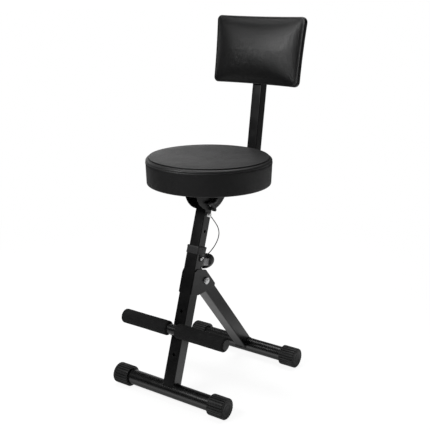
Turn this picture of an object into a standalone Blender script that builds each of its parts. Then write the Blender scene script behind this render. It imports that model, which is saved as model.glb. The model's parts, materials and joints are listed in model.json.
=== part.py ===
"""Folding guitar stool with a round seat, a footrest and a backrest, in metres, +Z up.

Two foot bars carry a leaning front post and a rear leg that folds against it. A seat post slides in
the front post, held by a clamp screw and stopped by a lock pin on a lanyard. The seat tilts on a bolt
through the top of the seat post, and the backrest stands on an arm under the seat.
"""
import math

import bmesh
import bpy
from mathutils import Matrix, Vector

# Clearances
FIT = 0.0003
SLIDE_GAP = 0.0005
TURN_GAP = 0.0003

# Foot bars and their ribbed caps
FOOT_TUBE_D = 0.042
FOOT_TUBE_WALL = 0.002
FOOT_WIDTH = 0.372
FOOT_SPREAD = 0.366
CAP_D = 0.0576
CAP_LENGTH = 0.049
CAP_END_WALL = 0.004
CAP_CHAMFER = 0.002
CAP_RIBS = 24
CAP_CREST_SHARE = 0.6
CAP_GROOVE = 0.0018

# Front post, measured along its axis from the axis of the front foot bar
FRAME_TUBE = 0.037
FRAME_WALL = 0.002
TUBE_CORNER = 0.003
POST_LEAN = math.radians(18.15)
POST_LENGTH = 0.3965
COLLAR_WALL = 0.002
COLLAR_LIP = 0.003
COLLAR_SKIRT = 0.0185
TONGUE_WIDTH = 0.020
TONGUE_LENGTH = 0.005

# Rear leg hinge
KNOB_LEG_GAP = 0.0007
FOLD_GAP = 0.0032
LEG_OVER_HINGE = 0.009
CHEEK_PLATE = 0.0025
CHEEK_EDGE = 0.0005
CHEEK_ABOVE_HINGE = 0.030
CHEEK_BELOW_HINGE = 0.0416
CHEEK_DOWN_LEG = 0.0514
CHEEK_LOWER_NOTCH = 0.0265
WEB_START = 0.013
HINGE_BOLT_D = 0.010
HINGE_NUT_FLATS = 0.017
HINGE_NUT_HEIGHT = 0.006
BUSH_WALL = 0.002

# Seat post, its height holes and the lock pin
SEAT_POST_WALL = 0.002
SEAT_POST_LENGTH = 0.295
TILT_BOLT_HEIGHT = 0.5187
SEAT_POST_OVER_BOLT = 0.036
PIN_BELOW_BOLT = 0.031
HOLE_PITCH = 0.046
HOLE_COUNT = 5
PIN_D = 0.008
PIN_HEAD_D = 0.011
PIN_HEAD_LENGTH = 0.009
PIN_TIP = 0.003
PLUG_FLANGE = 0.003
PLUG_STEM = 0.012

# Height clamp
CLAMP_COLLAR_GAP = 0.0076
CLAMP_STUD_D = 0.008
BOSS_WIDTH = 0.036
BOSS_HEIGHT = 0.022
BOSS_DEPTH = 0.024
CLAMP_KNOB_SPAN = 0.060
CLAMP_KNOB_WIDTH = 0.042
CLAMP_KNOB_DEPTH = 0.0125
CLAMP_KNOB_TURN = math.radians(-22)
CLAMP_KNOB_NEAR = 0.86
CLAMP_KNOB_CROWN = 0.72
CLAMP_KNOB_ROUND = 0.004
CLAMP_STUD_GRIP = 0.0096

# Footrest
STUD_HEIGHT = 0.1582
POST_HOLE_PITCH = 0.060
STUD_D = 0.008
STUD_TAIL = 0.0015
FOOTREST_NUT_FLATS = 0.013
FOOTREST_NUT_HEIGHT = 0.0055
FOOTREST_WASHER_D = 0.017
FOOTREST_WASHER = 0.0015
FOOTREST_RISE = 0.010
FOOTREST_WIDTH = 0.345
FOOTREST_BAR_D = 0.028
FOOTREST_BAR_WALL = 0.002
GRIP_D = 0.040
GRIP_POST_GAP = 0.001
GRIP_INNER_END = 0.014
GRIP_ROUND = 0.004
BAR_PLUG_HEAD = 0.002
SADDLE_WIDTH = 0.027
SADDLE_CHEEK = 0.006
SADDLE_MARGIN = 0.004

# Lanyard and its anchor
ANCHOR_GAP = 0.0005
ANCHOR_WASHER_D = 0.014
ANCHOR_WASHER = 0.0016
ANCHOR_SCREW_D = 0.004
ANCHOR_HEAD_D = 0.0075
ANCHOR_HEAD = 0.0024
LANYARD_D = 0.0026
LANYARD_STEP = 0.0055
LANYARD_ROUTE = (
    (0.0210, 0.1563, 0.4883),
    (0.0215, 0.1622, 0.4829),
    (0.0225, 0.1755, 0.4675),
    (0.0230, 0.1890, 0.4498),
    (0.0230, 0.1946, 0.4326),
    (0.0230, 0.1890, 0.4158),
    (0.0230, 0.1722, 0.3998),
    (0.0230, 0.1489, 0.3879),
    (0.0228, 0.1262, 0.3812),
    (0.0224, 0.1177, 0.3779),
)

# Seat bracket: two round cheeks under a base plate
BRACKET_PLATE = 0.0025
BRACKET_RADIUS = 0.077
BRACKET_BELOW_BOLT = 0.0196
BRACKET_SETBACK = 0.0087
TILT_BOLT_D = 0.008
TILT_BOLT_HEAD_FLATS = 0.013
TILT_BOLT_HEAD = 0.0055
FRICTION_WASHER_D = 0.026
FRICTION_WASHER = 0.001
TILT_WASHER_D = 0.018
TILT_WASHER = 0.0015
TILT_KNOB_REACH = 0.0215
TILT_KNOB_HUB_D = 0.019
TILT_KNOB_ARM = 0.009
TILT_KNOB_DEPTH = 0.012
TILT_KNOB_ARMS = 3
TILT_KNOB_TURN = math.radians(42)
TILT_KNOB_CROWN = 0.82
TILT_KNOB_ROUND = 0.003
TILT_BOLT_GRIP = 0.0084
BASE_PLATE = 0.003
BASE_PLATE_WIDTH = 0.090
BASE_PLATE_MARGIN = 0.012
BASE_PLATE_CORNER = 0.012
SEAT_SCREW_INSET = 0.012
SEAT_SCREW_D = 0.005
SEAT_SCREW_HEAD_D = 0.010
SEAT_SCREW_HEAD = 0.0025
SEAT_SCREW_GRIP = 0.006

# Seat
BOLT_TO_SEAT = 0.0534
SEAT_SETBACK = 0.0184
SEAT_D = 0.345
SEAT_THICKNESS = 0.073
SEAT_CROWN = 0.002
SEAT_RIM = 0.005
SEAT_RIM_DROP = 0.011
SEAT_SEAM = 0.0012
SEAT_TAPER = 0.004
SEAT_FOOT = 0.003
SEAT_WAIST = 0.0015
BOARD_INSET = 0.0225
BOARD = 0.009

# Backrest
BACK_TUBE = 0.031
BACK_TUBE_WALL = 0.002
BACK_GAP = 0.0265
BACK_LEAN = math.radians(8.4)
ARM_GAP = 0.004
ARM_BOLT_D = 0.008
ARM_BOLT_FLATS = 0.013
ARM_BOLT_HEAD = 0.0055
UPRIGHT_BELOW_ARM = 0.018
BACK_CENTRE = 0.358
BACK_WIDTH = 0.289
BACK_HEIGHT = 0.192
BACK_FLARE = 0.006
BACK_CORNER = 0.015
BACK_DRAW_IN = 0.002
BACK_THICKNESS = 0.044
BACK_EDGE = 0.0165
BACK_BOARD_INSET = 0.020
UPRIGHT_TOP_INSET = 0.022
BACK_SCREW_SPACING = 0.090
BACK_SCREW_D = 0.006
BACK_SCREW_HEAD_D = 0.012
BACK_SCREW_HEAD = 0.003
BACK_SCREW_GRIP = 0.0063

# Facets and shading
ROUND_STEPS = 24
HOLE_STEPS = 16
SEAT_STEPS = 48
CORNER_STEPS = 3
BACK_CORNER_STEPS = 5
BACK_SIDE_STEPS = 5
SHARP_ANGLE = math.radians(32)

# Finishes: colour, roughness, metallic
FINISHES = {
    'black_enamel': ((0.018, 0.018, 0.020), 0.34, 0.0),
    'black_leather': ((0.022, 0.022, 0.024), 0.46, 0.0),
    'black_foam': ((0.020, 0.020, 0.021), 0.92, 0.0),
    'black_rubber': ((0.026, 0.026, 0.027), 0.66, 0.0),
    'black_plastic': ((0.024, 0.024, 0.026), 0.45, 0.0),
    'grey_plastic': ((0.320, 0.320, 0.325), 0.42, 0.0),
    'bright_zinc': ((0.720, 0.730, 0.740), 0.28, 1.0),
    'steel_wire': ((0.200, 0.200, 0.210), 0.40, 1.0),
    'plywood': ((0.420, 0.300, 0.180), 0.70, 0.0),
    'nylon': ((0.600, 0.590, 0.560), 0.55, 0.0),
}

# Sizes that follow from the ones above
SEAT_TUBE = FRAME_TUBE - 2 * FRAME_WALL - 2 * SLIDE_GAP
FRAME_HALF = FRAME_TUBE / 2
SEAT_TUBE_HALF = SEAT_TUBE / 2
BACK_TUBE_HALF = BACK_TUBE / 2
CAP_R = CAP_D / 2
CREST_HALF_ANGLE = CAP_CREST_SHARE * math.pi / CAP_RIBS
FOOT_AXIS_Z = CAP_R * math.cos(CREST_HALF_ANGLE)
COLLAR_SIDE = FRAME_TUBE + 2 * COLLAR_WALL
COLLAR_BOTTOM = POST_LENGTH + FIT - COLLAR_SKIRT
TONGUE_BOTTOM = COLLAR_BOTTOM - TONGUE_LENGTH
ANCHOR_HEIGHT = TONGUE_BOTTOM - ANCHOR_GAP - ANCHOR_WASHER_D / 2
CLAMP_HEIGHT = COLLAR_BOTTOM - CLAMP_COLLAR_GAP - BOSS_HEIGHT / 2
LEG_CORNER = math.hypot(FRAME_HALF, LEG_OVER_HINGE)
HINGE_HEIGHT = CLAMP_HEIGHT - CLAMP_KNOB_SPAN / 2 - KNOB_LEG_GAP - LEG_CORNER
HINGE_BACK = FRAME_TUBE + FOLD_GAP
CHEEK_INNER = FRAME_HALF + FIT
CHEEK_OUTER = CHEEK_INNER + CHEEK_PLATE
FOOTREST_HEIGHT = STUD_HEIGHT + FOOTREST_RISE
FOOTREST_FRONT = FRAME_HALF + GRIP_POST_GAP + GRIP_D / 2
SEAT_POST_BOTTOM = TILT_BOLT_HEIGHT + SEAT_POST_OVER_BOLT - SEAT_POST_LENGTH
PIN_HEIGHT = TILT_BOLT_HEIGHT - PIN_BELOW_BOLT
BRACKET_INNER = SEAT_TUBE_HALF + FRICTION_WASHER + 2 * FIT
BRACKET_OUTER = BRACKET_INNER + BRACKET_PLATE
BASE_TOP = BOLT_TO_SEAT - FIT
BASE_BOTTOM = BASE_TOP - BASE_PLATE
BOARD_R = SEAT_D / 2 - BOARD_INSET
ARM_MIDDLE = BASE_BOTTOM - FIT - BACK_TUBE_HALF
BRACKET_MIDDLE = BRACKET_RADIUS - BRACKET_BELOW_BOLT
BRACKET_TOP = BASE_BOTTOM - FIT
BRACKET_REACH = math.sqrt(BRACKET_RADIUS ** 2 - (BRACKET_TOP - BRACKET_MIDDLE) ** 2)
ARM_START = BRACKET_SETBACK + BRACKET_REACH + ARM_GAP
BASE_FRONT = BRACKET_SETBACK - BRACKET_REACH
BASE_REAR = SEAT_SETBACK + BOARD_R - BASE_PLATE_MARGIN
UPRIGHT_BACK = SEAT_SETBACK + SEAT_D / 2 + BACK_GAP + BACK_TUBE_HALF / math.cos(BACK_LEAN)
UPRIGHT_TOP = BACK_CENTRE + BACK_HEIGHT / 2 - UPRIGHT_TOP_INSET

# Middle of the whole stool from front to back, measured from the front foot bar
TILT_BOLT_BACK = TILT_BOLT_HEIGHT * math.sin(POST_LEAN)
TILT_BOLT_Z = FOOT_AXIS_Z + TILT_BOLT_HEIGHT * math.cos(POST_LEAN)
TOP_CORNER_UP = UPRIGHT_TOP + FIT + PLUG_FLANGE
TOP_CORNER_BACK = TOP_CORNER_UP * math.sin(BACK_LEAN) + BACK_TUBE_HALF * math.cos(BACK_LEAN)
REAR_REACH = max(FOOT_SPREAD + CAP_R, TILT_BOLT_BACK + UPRIGHT_BACK + TOP_CORNER_BACK)
MIDDLE_Y = (REAR_REACH - CAP_R) / 2

# Turns that lay a shape built along its own Z on another axis
ALONG_X = Matrix(((0, 0, 1, 0), (1, 0, 0, 0), (0, 1, 0, 0), (0, 0, 0, 1)))
ALONG_Y = Matrix(((0, 1, 0, 0), (0, 0, 1, 0), (1, 0, 0, 0), (0, 0, 0, 1)))
MIRROR_X = Matrix.Scale(-1, 4, (1, 0, 0))


# Outlines: lists of (u, v) points, anticlockwise
def circle(radius, count=ROUND_STEPS):
    """Points round a circle."""
    step = 2 * math.pi / count
    return [(radius * math.cos(i * step), radius * math.sin(i * step)) for i in range(count)]


def polar(radius_at, count):
    """Points round a shape whose radius depends on the angle."""
    points = []
    for i in range(count):
        angle = 2 * math.pi * i / count
        radius = radius_at(angle)
        points.append((radius * math.cos(angle), radius * math.sin(angle)))
    return points


def hexagon(flats, count=ROUND_STEPS):
    """A hexagon sampled evenly in angle, so that it can be skinned to a circle."""
    sector = math.pi / 3
    return polar(lambda a: flats / 2 / math.cos((a + sector / 2) % sector - sector / 2), count)


def rounded_polygon(corners, steps=CORNER_STEPS):
    """A polygon with round corners, each corner given as (u, v, radius)."""
    points = []
    count = len(corners)
    for i, (u, v, radius) in enumerate(corners):
        here = Vector((u, v))
        to_last = (Vector(corners[i - 1][:2]) - here).normalized()
        to_next = (Vector(corners[(i + 1) % count][:2]) - here).normalized()
        half = to_last.angle(to_next) / 2
        start = here + to_last * radius / math.tan(half)
        end = here + to_next * radius / math.tan(half)
        centre = here + (to_last + to_next).normalized() * radius / math.sin(half)
        first = math.atan2(start.y - centre.y, start.x - centre.x)
        sweep = math.atan2(end.y - centre.y, end.x - centre.x) - first
        sweep = (sweep + math.pi) % (2 * math.pi) - math.pi
        for k in range(steps + 1):
            angle = first + sweep * k / steps
            points.append((centre.x + radius * math.cos(angle), centre.y + radius * math.sin(angle)))
    return points


def rectangle(width, height, radius, steps=CORNER_STEPS):
    """A rectangle with round corners about its own middle."""
    u, v = width / 2, height / 2
    return rounded_polygon([(u, -v, radius), (u, v, radius), (-u, v, radius), (-u, -v, radius)], steps)


def moved(outline, u=0.0, v=0.0):
    """The same outline in another place."""
    return [(a + u, b + v) for a, b in outline]


def scaled(outline, share):
    """The same outline larger or smaller about its own middle."""
    return [(u * share, v * share) for u, v in outline]


# Solids: each function fills a bmesh, built along Z
def loft(bm, rings, closed=False):
    """Skin over a run of (outline, z) rings. An open run has flat ends, a closed one is a ring."""
    loops = [[bm.verts.new((u, v, z)) for u, v in outline] for outline, z in rings]
    pairs = list(zip(loops, loops[1:]))
    if closed:
        pairs.append((loops[-1], loops[0]))
    for near, far in pairs:
        for i in range(len(near)):
            bm.faces.new((near[i - 1], near[i], far[i], far[i - 1]))
    if not closed:
        bm.faces.new(reversed(loops[0]))
        bm.faces.new(loops[-1])


def tube(bm, outer, inner, start, end):
    """A hollow length with open ends."""
    loft(bm, [(outer, start), (outer, end), (inner, end), (inner, start)], closed=True)


def square_tube(bm, side, wall, start, end):
    """A square tube with round corners."""
    outer = rectangle(side, side, TUBE_CORNER)
    inner = rectangle(side - 2 * wall, side - 2 * wall, max(TUBE_CORNER - wall, wall / 2))
    tube(bm, outer, inner, start, end)


def turned(bm, profile, steps=ROUND_STEPS):
    """A solid turned about Z from (radius, z) points that start and end on the axis."""
    verts = [bm.verts.new((radius, 0, z)) for radius, z in profile]
    edges = [bm.edges.new(pair) for pair in zip(verts, verts[1:])]
    bmesh.ops.spin(bm, geom=verts + edges, cent=(0, 0, 0), axis=(0, 0, 1), angle=2 * math.pi,
                   steps=steps, use_merge=True)
    bmesh.ops.remove_doubles(bm, verts=bm.verts, dist=1e-6)


# Objects
def finish_material(name, finish):
    """A material of its own for one object."""
    colour, roughness, metallic = FINISHES[finish]
    material = bpy.data.materials.new(name)
    material.use_nodes = True
    shader = material.node_tree.nodes['Principled BSDF']
    shader.inputs['Base Color'].default_value = (*colour, 1.0)
    shader.inputs['Roughness'].default_value = roughness
    shader.inputs['Metallic'].default_value = metallic
    return material


def axis(name, parent, location, turn=0.0):
    """An empty that carries pieces, turned about X."""
    empty = bpy.data.objects.new(name, None)
    bpy.context.collection.objects.link(empty)
    empty.parent = parent
    empty.location = location
    empty.rotation_euler = (turn, 0, 0)
    return empty


def finish_object(name, bm, parent, matrix):
    """An object from a finished bmesh."""
    bm.transform(matrix)
    bm.normal_update()
    bmesh.ops.recalc_face_normals(bm, faces=bm.faces)
    if bm.calc_volume(signed=True) < 0:
        bmesh.ops.reverse_faces(bm, faces=bm.faces)
    mesh = bpy.data.meshes.new(name)
    bm.to_mesh(mesh)
    bm.free()
    thing = bpy.data.objects.new(name, mesh)
    bpy.context.collection.objects.link(thing)
    thing.parent = parent
    return thing


def piece(name, parent, finish, bm, matrix=Matrix()):
    """One sub-part with its own material."""
    thing = finish_object(name, bm, parent, matrix)
    thing.data.shade_smooth()
    thing.data.set_sharp_from_angle(angle=SHARP_ANGLE)
    thing.data.materials.append(finish_material(name, finish))
    return thing


def use_cutter(target, bm, matrix=Matrix(), operation='DIFFERENCE'):
    """Cut a hidden shape out of a piece, or join it on."""
    name = f'{target.name}_tool_{len(target.modifiers)}'
    tool = finish_object(name, bm, target.parent, matrix)
    tool.hide_render = True
    tool.display_type = 'WIRE'
    modifier = target.modifiers.new(name, 'BOOLEAN')
    modifier.operation = operation
    modifier.object = tool


def drill(target, diameter, u, v, start, end, along=Matrix()):
    """Drill a round hole through a piece, along Z or the axis that a turn gives."""
    bm = bmesh.new()
    hole = moved(circle(diameter / 2, HOLE_STEPS), u, v)
    loft(bm, [(hole, start), (hole, end)])
    use_cutter(target, bm, along)


def washer(name, parent, finish, outer_d, inner_d, start, end, along):
    """A flat ring."""
    bm = bmesh.new()
    tube(bm, circle(outer_d / 2), circle(inner_d / 2), start, end)
    return piece(name, parent, finish, bm, along)


def nut(name, parent, finish, flats, bore, start, end, along):
    """A hexagon nut with a plain bore."""
    bm = bmesh.new()
    tube(bm, hexagon(flats), circle(bore / 2), start, end)
    return piece(name, parent, finish, bm, along)


def bolt(name, parent, finish, head, shank_d, head_end, seat_z, tip, along):
    """A bolt whose head, given as an outline, runs from head_end to the face it seats on."""
    bm = bmesh.new()
    shank = circle(shank_d / 2, len(head))
    loft(bm, [(head, head_end), (head, seat_z), (shank, seat_z), (shank, tip)])
    return piece(name, parent, finish, bm, along)


def tube_plug(name, parent, side, hole, end, outward):
    """A plastic plug in the end of a square tube; outward is 1 or -1 along Z."""
    bm = bmesh.new()
    flange = rectangle(side, side, TUBE_CORNER)
    stem_side = hole - 2 * FIT
    stem = rectangle(stem_side, stem_side, TUBE_CORNER / 2)
    seat_z = end + outward * FIT
    outer_z = seat_z + outward * PLUG_FLANGE
    loft(bm, [(flange, outer_z), (flange, seat_z), (stem, seat_z), (stem, end - outward * PLUG_STEM)])
    return piece(name, parent, 'black_plastic', bm)


# Foot bars
def foot_cap(name, parent, side):
    """A ribbed rubber cap over one end of a foot bar, resting on the flat crest of a rib."""
    pitch = 2 * math.pi / CAP_RIBS
    ribbed = []
    for rib in range(CAP_RIBS):
        middle = rib * pitch - math.pi / 2
        groove = pitch / 2 - CREST_HALF_ANGLE
        for angle, radius in ((-CREST_HALF_ANGLE, CAP_R), (CREST_HALF_ANGLE, CAP_R),
                              (CREST_HALF_ANGLE + groove * 0.5, CAP_R - CAP_GROOVE),
                              (pitch - CREST_HALF_ANGLE - groove * 0.5, CAP_R - CAP_GROOVE)):
            ribbed.append((radius * math.cos(middle + angle), radius * math.sin(middle + angle)))
    shoulder = scaled(ribbed, (CAP_R - CAP_CHAMFER) / CAP_R)
    outer_end = FOOT_WIDTH / 2
    inner_end = outer_end - CAP_LENGTH
    bm = bmesh.new()
    loft(bm, [(ribbed, inner_end), (ribbed, outer_end - CAP_CHAMFER), (shoulder, outer_end)])
    turn = ALONG_X if side > 0 else MIRROR_X @ ALONG_X
    cap = piece(name, parent, 'black_rubber', bm, turn)
    bore = bmesh.new()
    socket = circle(FOOT_TUBE_D / 2 + FIT, 2 * ROUND_STEPS)
    loft(bore, [(socket, inner_end - CAP_CHAMFER), (socket, outer_end - CAP_END_WALL)])
    use_cutter(cap, bore, turn)


def foot_bar(prefix, parent):
    """A round foot tube with a cap on each end."""
    half = FOOT_WIDTH / 2 - CAP_END_WALL - FIT
    bm = bmesh.new()
    outer = circle(FOOT_TUBE_D / 2, 2 * ROUND_STEPS)
    inner = circle(FOOT_TUBE_D / 2 - FOOT_TUBE_WALL, 2 * ROUND_STEPS)
    tube(bm, outer, inner, -half, half)
    piece(f'{prefix}_foot_tube', parent, 'black_enamel', bm, ALONG_X)
    foot_cap(f'{prefix}_foot_cap_left', parent, -1)
    foot_cap(f'{prefix}_foot_cap_right', parent, 1)


def cope(target, height):
    """Cut the end of a tube to sit on a foot bar whose axis lies at a height along it."""
    bm = bmesh.new()
    bar = circle(FOOT_TUBE_D / 2 + FIT, 2 * ROUND_STEPS)
    loft(bm, [(moved(bar, 0, height), -FRAME_TUBE), (moved(bar, 0, height), FRAME_TUBE)])
    use_cutter(target, bm, ALONG_X)


# Front post and collar
def front_post(post):
    """The outer square tube, coped on the foot bar and drilled for footrest, clamp and anchor."""
    bm = bmesh.new()
    square_tube(bm, FRAME_TUBE, FRAME_WALL, 0, POST_LENGTH)
    body = piece('front_post', post, 'black_enamel', bm)
    cope(body, 0)
    for row in (-1, 0, 1):
        height = STUD_HEIGHT + row * POST_HOLE_PITCH
        drill(body, STUD_D + 2 * TURN_GAP, height, 0, -FRAME_TUBE, FRAME_TUBE, ALONG_Y)
    drill(body, CLAMP_STUD_D + 2 * TURN_GAP, CLAMP_HEIGHT, 0, 0, FRAME_TUBE, ALONG_Y)
    drill(body, ANCHOR_SCREW_D + 2 * FIT, 0, ANCHOR_HEIGHT, 0, FRAME_TUBE, ALONG_X)


def collar(post):
    """The plastic sleeve on top of the front post, with a tongue down its right side."""
    outer = rectangle(COLLAR_SIDE, COLLAR_SIDE, TUBE_CORNER + COLLAR_WALL)
    skirt_side = FRAME_TUBE + 2 * FIT
    skirt = rectangle(skirt_side, skirt_side, TUBE_CORNER)
    throat_side = SEAT_TUBE + 2 * FIT
    throat = rectangle(throat_side, throat_side, TUBE_CORNER)
    seat_z = POST_LENGTH + FIT
    top = seat_z + COLLAR_LIP
    bm = bmesh.new()
    loft(bm, [(outer, COLLAR_BOTTOM), (outer, top), (throat, top), (throat, seat_z),
              (skirt, seat_z), (skirt, COLLAR_BOTTOM)], closed=True)
    body = piece('collar', post, 'black_plastic', bm)
    tongue = bmesh.new()
    half = TONGUE_WIDTH / 2
    root = COLLAR_BOTTOM + COLLAR_SKIRT / 2
    outline = [(-half, root), (-half, TONGUE_BOTTOM + half / 2), (-half / 2, TONGUE_BOTTOM),
               (half / 2, TONGUE_BOTTOM), (half, TONGUE_BOTTOM + half / 2), (half, root)]
    loft(tongue, [(outline, skirt_side / 2), (outline, COLLAR_SIDE / 2)])
    use_cutter(body, tongue, ALONG_X, 'UNION')


# Rear leg and its hinge
def hinge_cheeks(post, leg_angle):
    """Two plates welded to the sides of the post, reaching back along the rear leg."""
    down = Vector((math.sin(leg_angle), -math.cos(leg_angle)))
    behind = Vector((math.cos(leg_angle), math.sin(leg_angle)))
    hinge = Vector((HINGE_BACK, HINGE_HEIGHT))
    edge = FRAME_HALF + FIT + CHEEK_PLATE
    front = CHEEK_EDGE - FRAME_HALF
    top = HINGE_HEIGHT + CHEEK_ABOVE_HINGE
    foot = HINGE_HEIGHT - CHEEK_BELOW_HINGE
    rear_line = hinge + behind * edge
    top_corner = rear_line - down * (top - rear_line.y) / math.cos(leg_angle)
    lower_corner = rear_line + down * CHEEK_DOWN_LEG
    notch = hinge + down * CHEEK_LOWER_NOTCH - behind * FRAME_HALF
    outline = rounded_polygon([
        (front, foot, 0.004), (FRAME_HALF, foot, 0.008), (*notch, 0.010), (*lower_corner, 0.005),
        (*top_corner, 0.006), (front, top, 0.016)])
    for name, side in (('hinge_cheek_left', -1), ('hinge_cheek_right', 1)):
        bm = bmesh.new()
        loft(bm, [(outline, CHEEK_INNER), (outline, CHEEK_OUTER)])
        turn = ALONG_X if side > 0 else MIRROR_X @ ALONG_X
        cheek = piece(name, post, 'black_enamel', bm, turn)
        hole_d = HINGE_BOLT_D + 2 * TURN_GAP
        drill(cheek, hole_d, HINGE_BACK, HINGE_HEIGHT, -FRAME_TUBE, FRAME_TUBE, ALONG_X)


def hinge_hardware(hinge):
    """The stop web behind the leg, and the bolt and nut across both cheeks, about the hinge axis."""
    web = bmesh.new()
    near = FRAME_HALF + FIT
    strip = [(near, -CHEEK_DOWN_LEG), (near + CHEEK_PLATE, -CHEEK_DOWN_LEG),
             (near + CHEEK_PLATE, -WEB_START), (near, -WEB_START)]
    loft(web, [(strip, -FRAME_HALF), (strip, FRAME_HALF)])
    piece('hinge_stop_web', hinge, 'black_enamel', web, ALONG_X)
    seat_x = CHEEK_OUTER + FIT
    nut_end = seat_x + HINGE_NUT_HEIGHT
    bolt('hinge_bolt', hinge, 'bright_zinc', hexagon(HINGE_NUT_FLATS), HINGE_BOLT_D,
         -nut_end, -seat_x, nut_end + HINGE_BOLT_D / 5, ALONG_X)
    nut('hinge_nut', hinge, 'bright_zinc', HINGE_NUT_FLATS, HINGE_BOLT_D + 2 * FIT, seat_x, nut_end, ALONG_X)


def rear_leg(leg, leg_length):
    """The folding leg, hung from the hinge and coped on the rear foot bar."""
    bm = bmesh.new()
    square_tube(bm, FRAME_TUBE, FRAME_WALL, -leg_length, LEG_OVER_HINGE)
    body = piece('rear_leg_tube', leg, 'black_enamel', bm)
    cope(body, -leg_length)
    drill(body, HINGE_BOLT_D + 2 * TURN_GAP, 0, 0, -FRAME_TUBE, FRAME_TUBE, ALONG_X)
    bore = HINGE_BOLT_D + 2 * TURN_GAP
    half = FRAME_HALF - FRAME_WALL - FIT
    washer('hinge_bush', leg, 'nylon', bore + 2 * BUSH_WALL, bore, -half, half, ALONG_X)


# Height clamp
def clamp(post, knob):
    """The threaded boss behind the post, and the knob and stud that turn in it about Z."""
    bm = bmesh.new()
    outline = moved(rectangle(BOSS_HEIGHT, BOSS_WIDTH, TUBE_CORNER, 5), CLAMP_HEIGHT, 0)
    bore = moved(circle(CLAMP_STUD_D / 2 + TURN_GAP, len(outline)), CLAMP_HEIGHT, 0)
    boss_start = FRAME_HALF + FIT
    boss_end = boss_start + BOSS_DEPTH
    tube(bm, outline, bore, boss_start, boss_end)
    piece('clamp_boss', post, 'grey_plastic', bm, ALONG_Y)

    half_span, half_width = CLAMP_KNOB_SPAN / 2, CLAMP_KNOB_WIDTH / 2

    def oval(angle):
        turned_angle = angle - CLAMP_KNOB_TURN
        return 1 / math.hypot(math.cos(turned_angle) / half_span, math.sin(turned_angle) / half_width)

    full = polar(oval, ROUND_STEPS)
    near = scaled(full, CLAMP_KNOB_NEAR)
    crown = scaled(full, CLAMP_KNOB_CROWN)
    start = boss_end + TURN_GAP
    end = start + CLAMP_KNOB_DEPTH
    bm = bmesh.new()
    loft(bm, [(near, start), (full, start + CLAMP_KNOB_ROUND), (full, end - CLAMP_KNOB_ROUND), (crown, end)])
    body = piece('clamp_knob', knob, 'black_plastic', bm)
    socket_end = start + CLAMP_STUD_GRIP
    drill(body, CLAMP_STUD_D + 2 * FIT, 0, 0, start - FIT, socket_end)
    bm = bmesh.new()
    rod = circle(CLAMP_STUD_D / 2)
    loft(bm, [(rod, SEAT_TUBE_HALF + FIT), (rod, socket_end - FIT)])
    piece('clamp_stud', knob, 'bright_zinc', bm)


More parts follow.
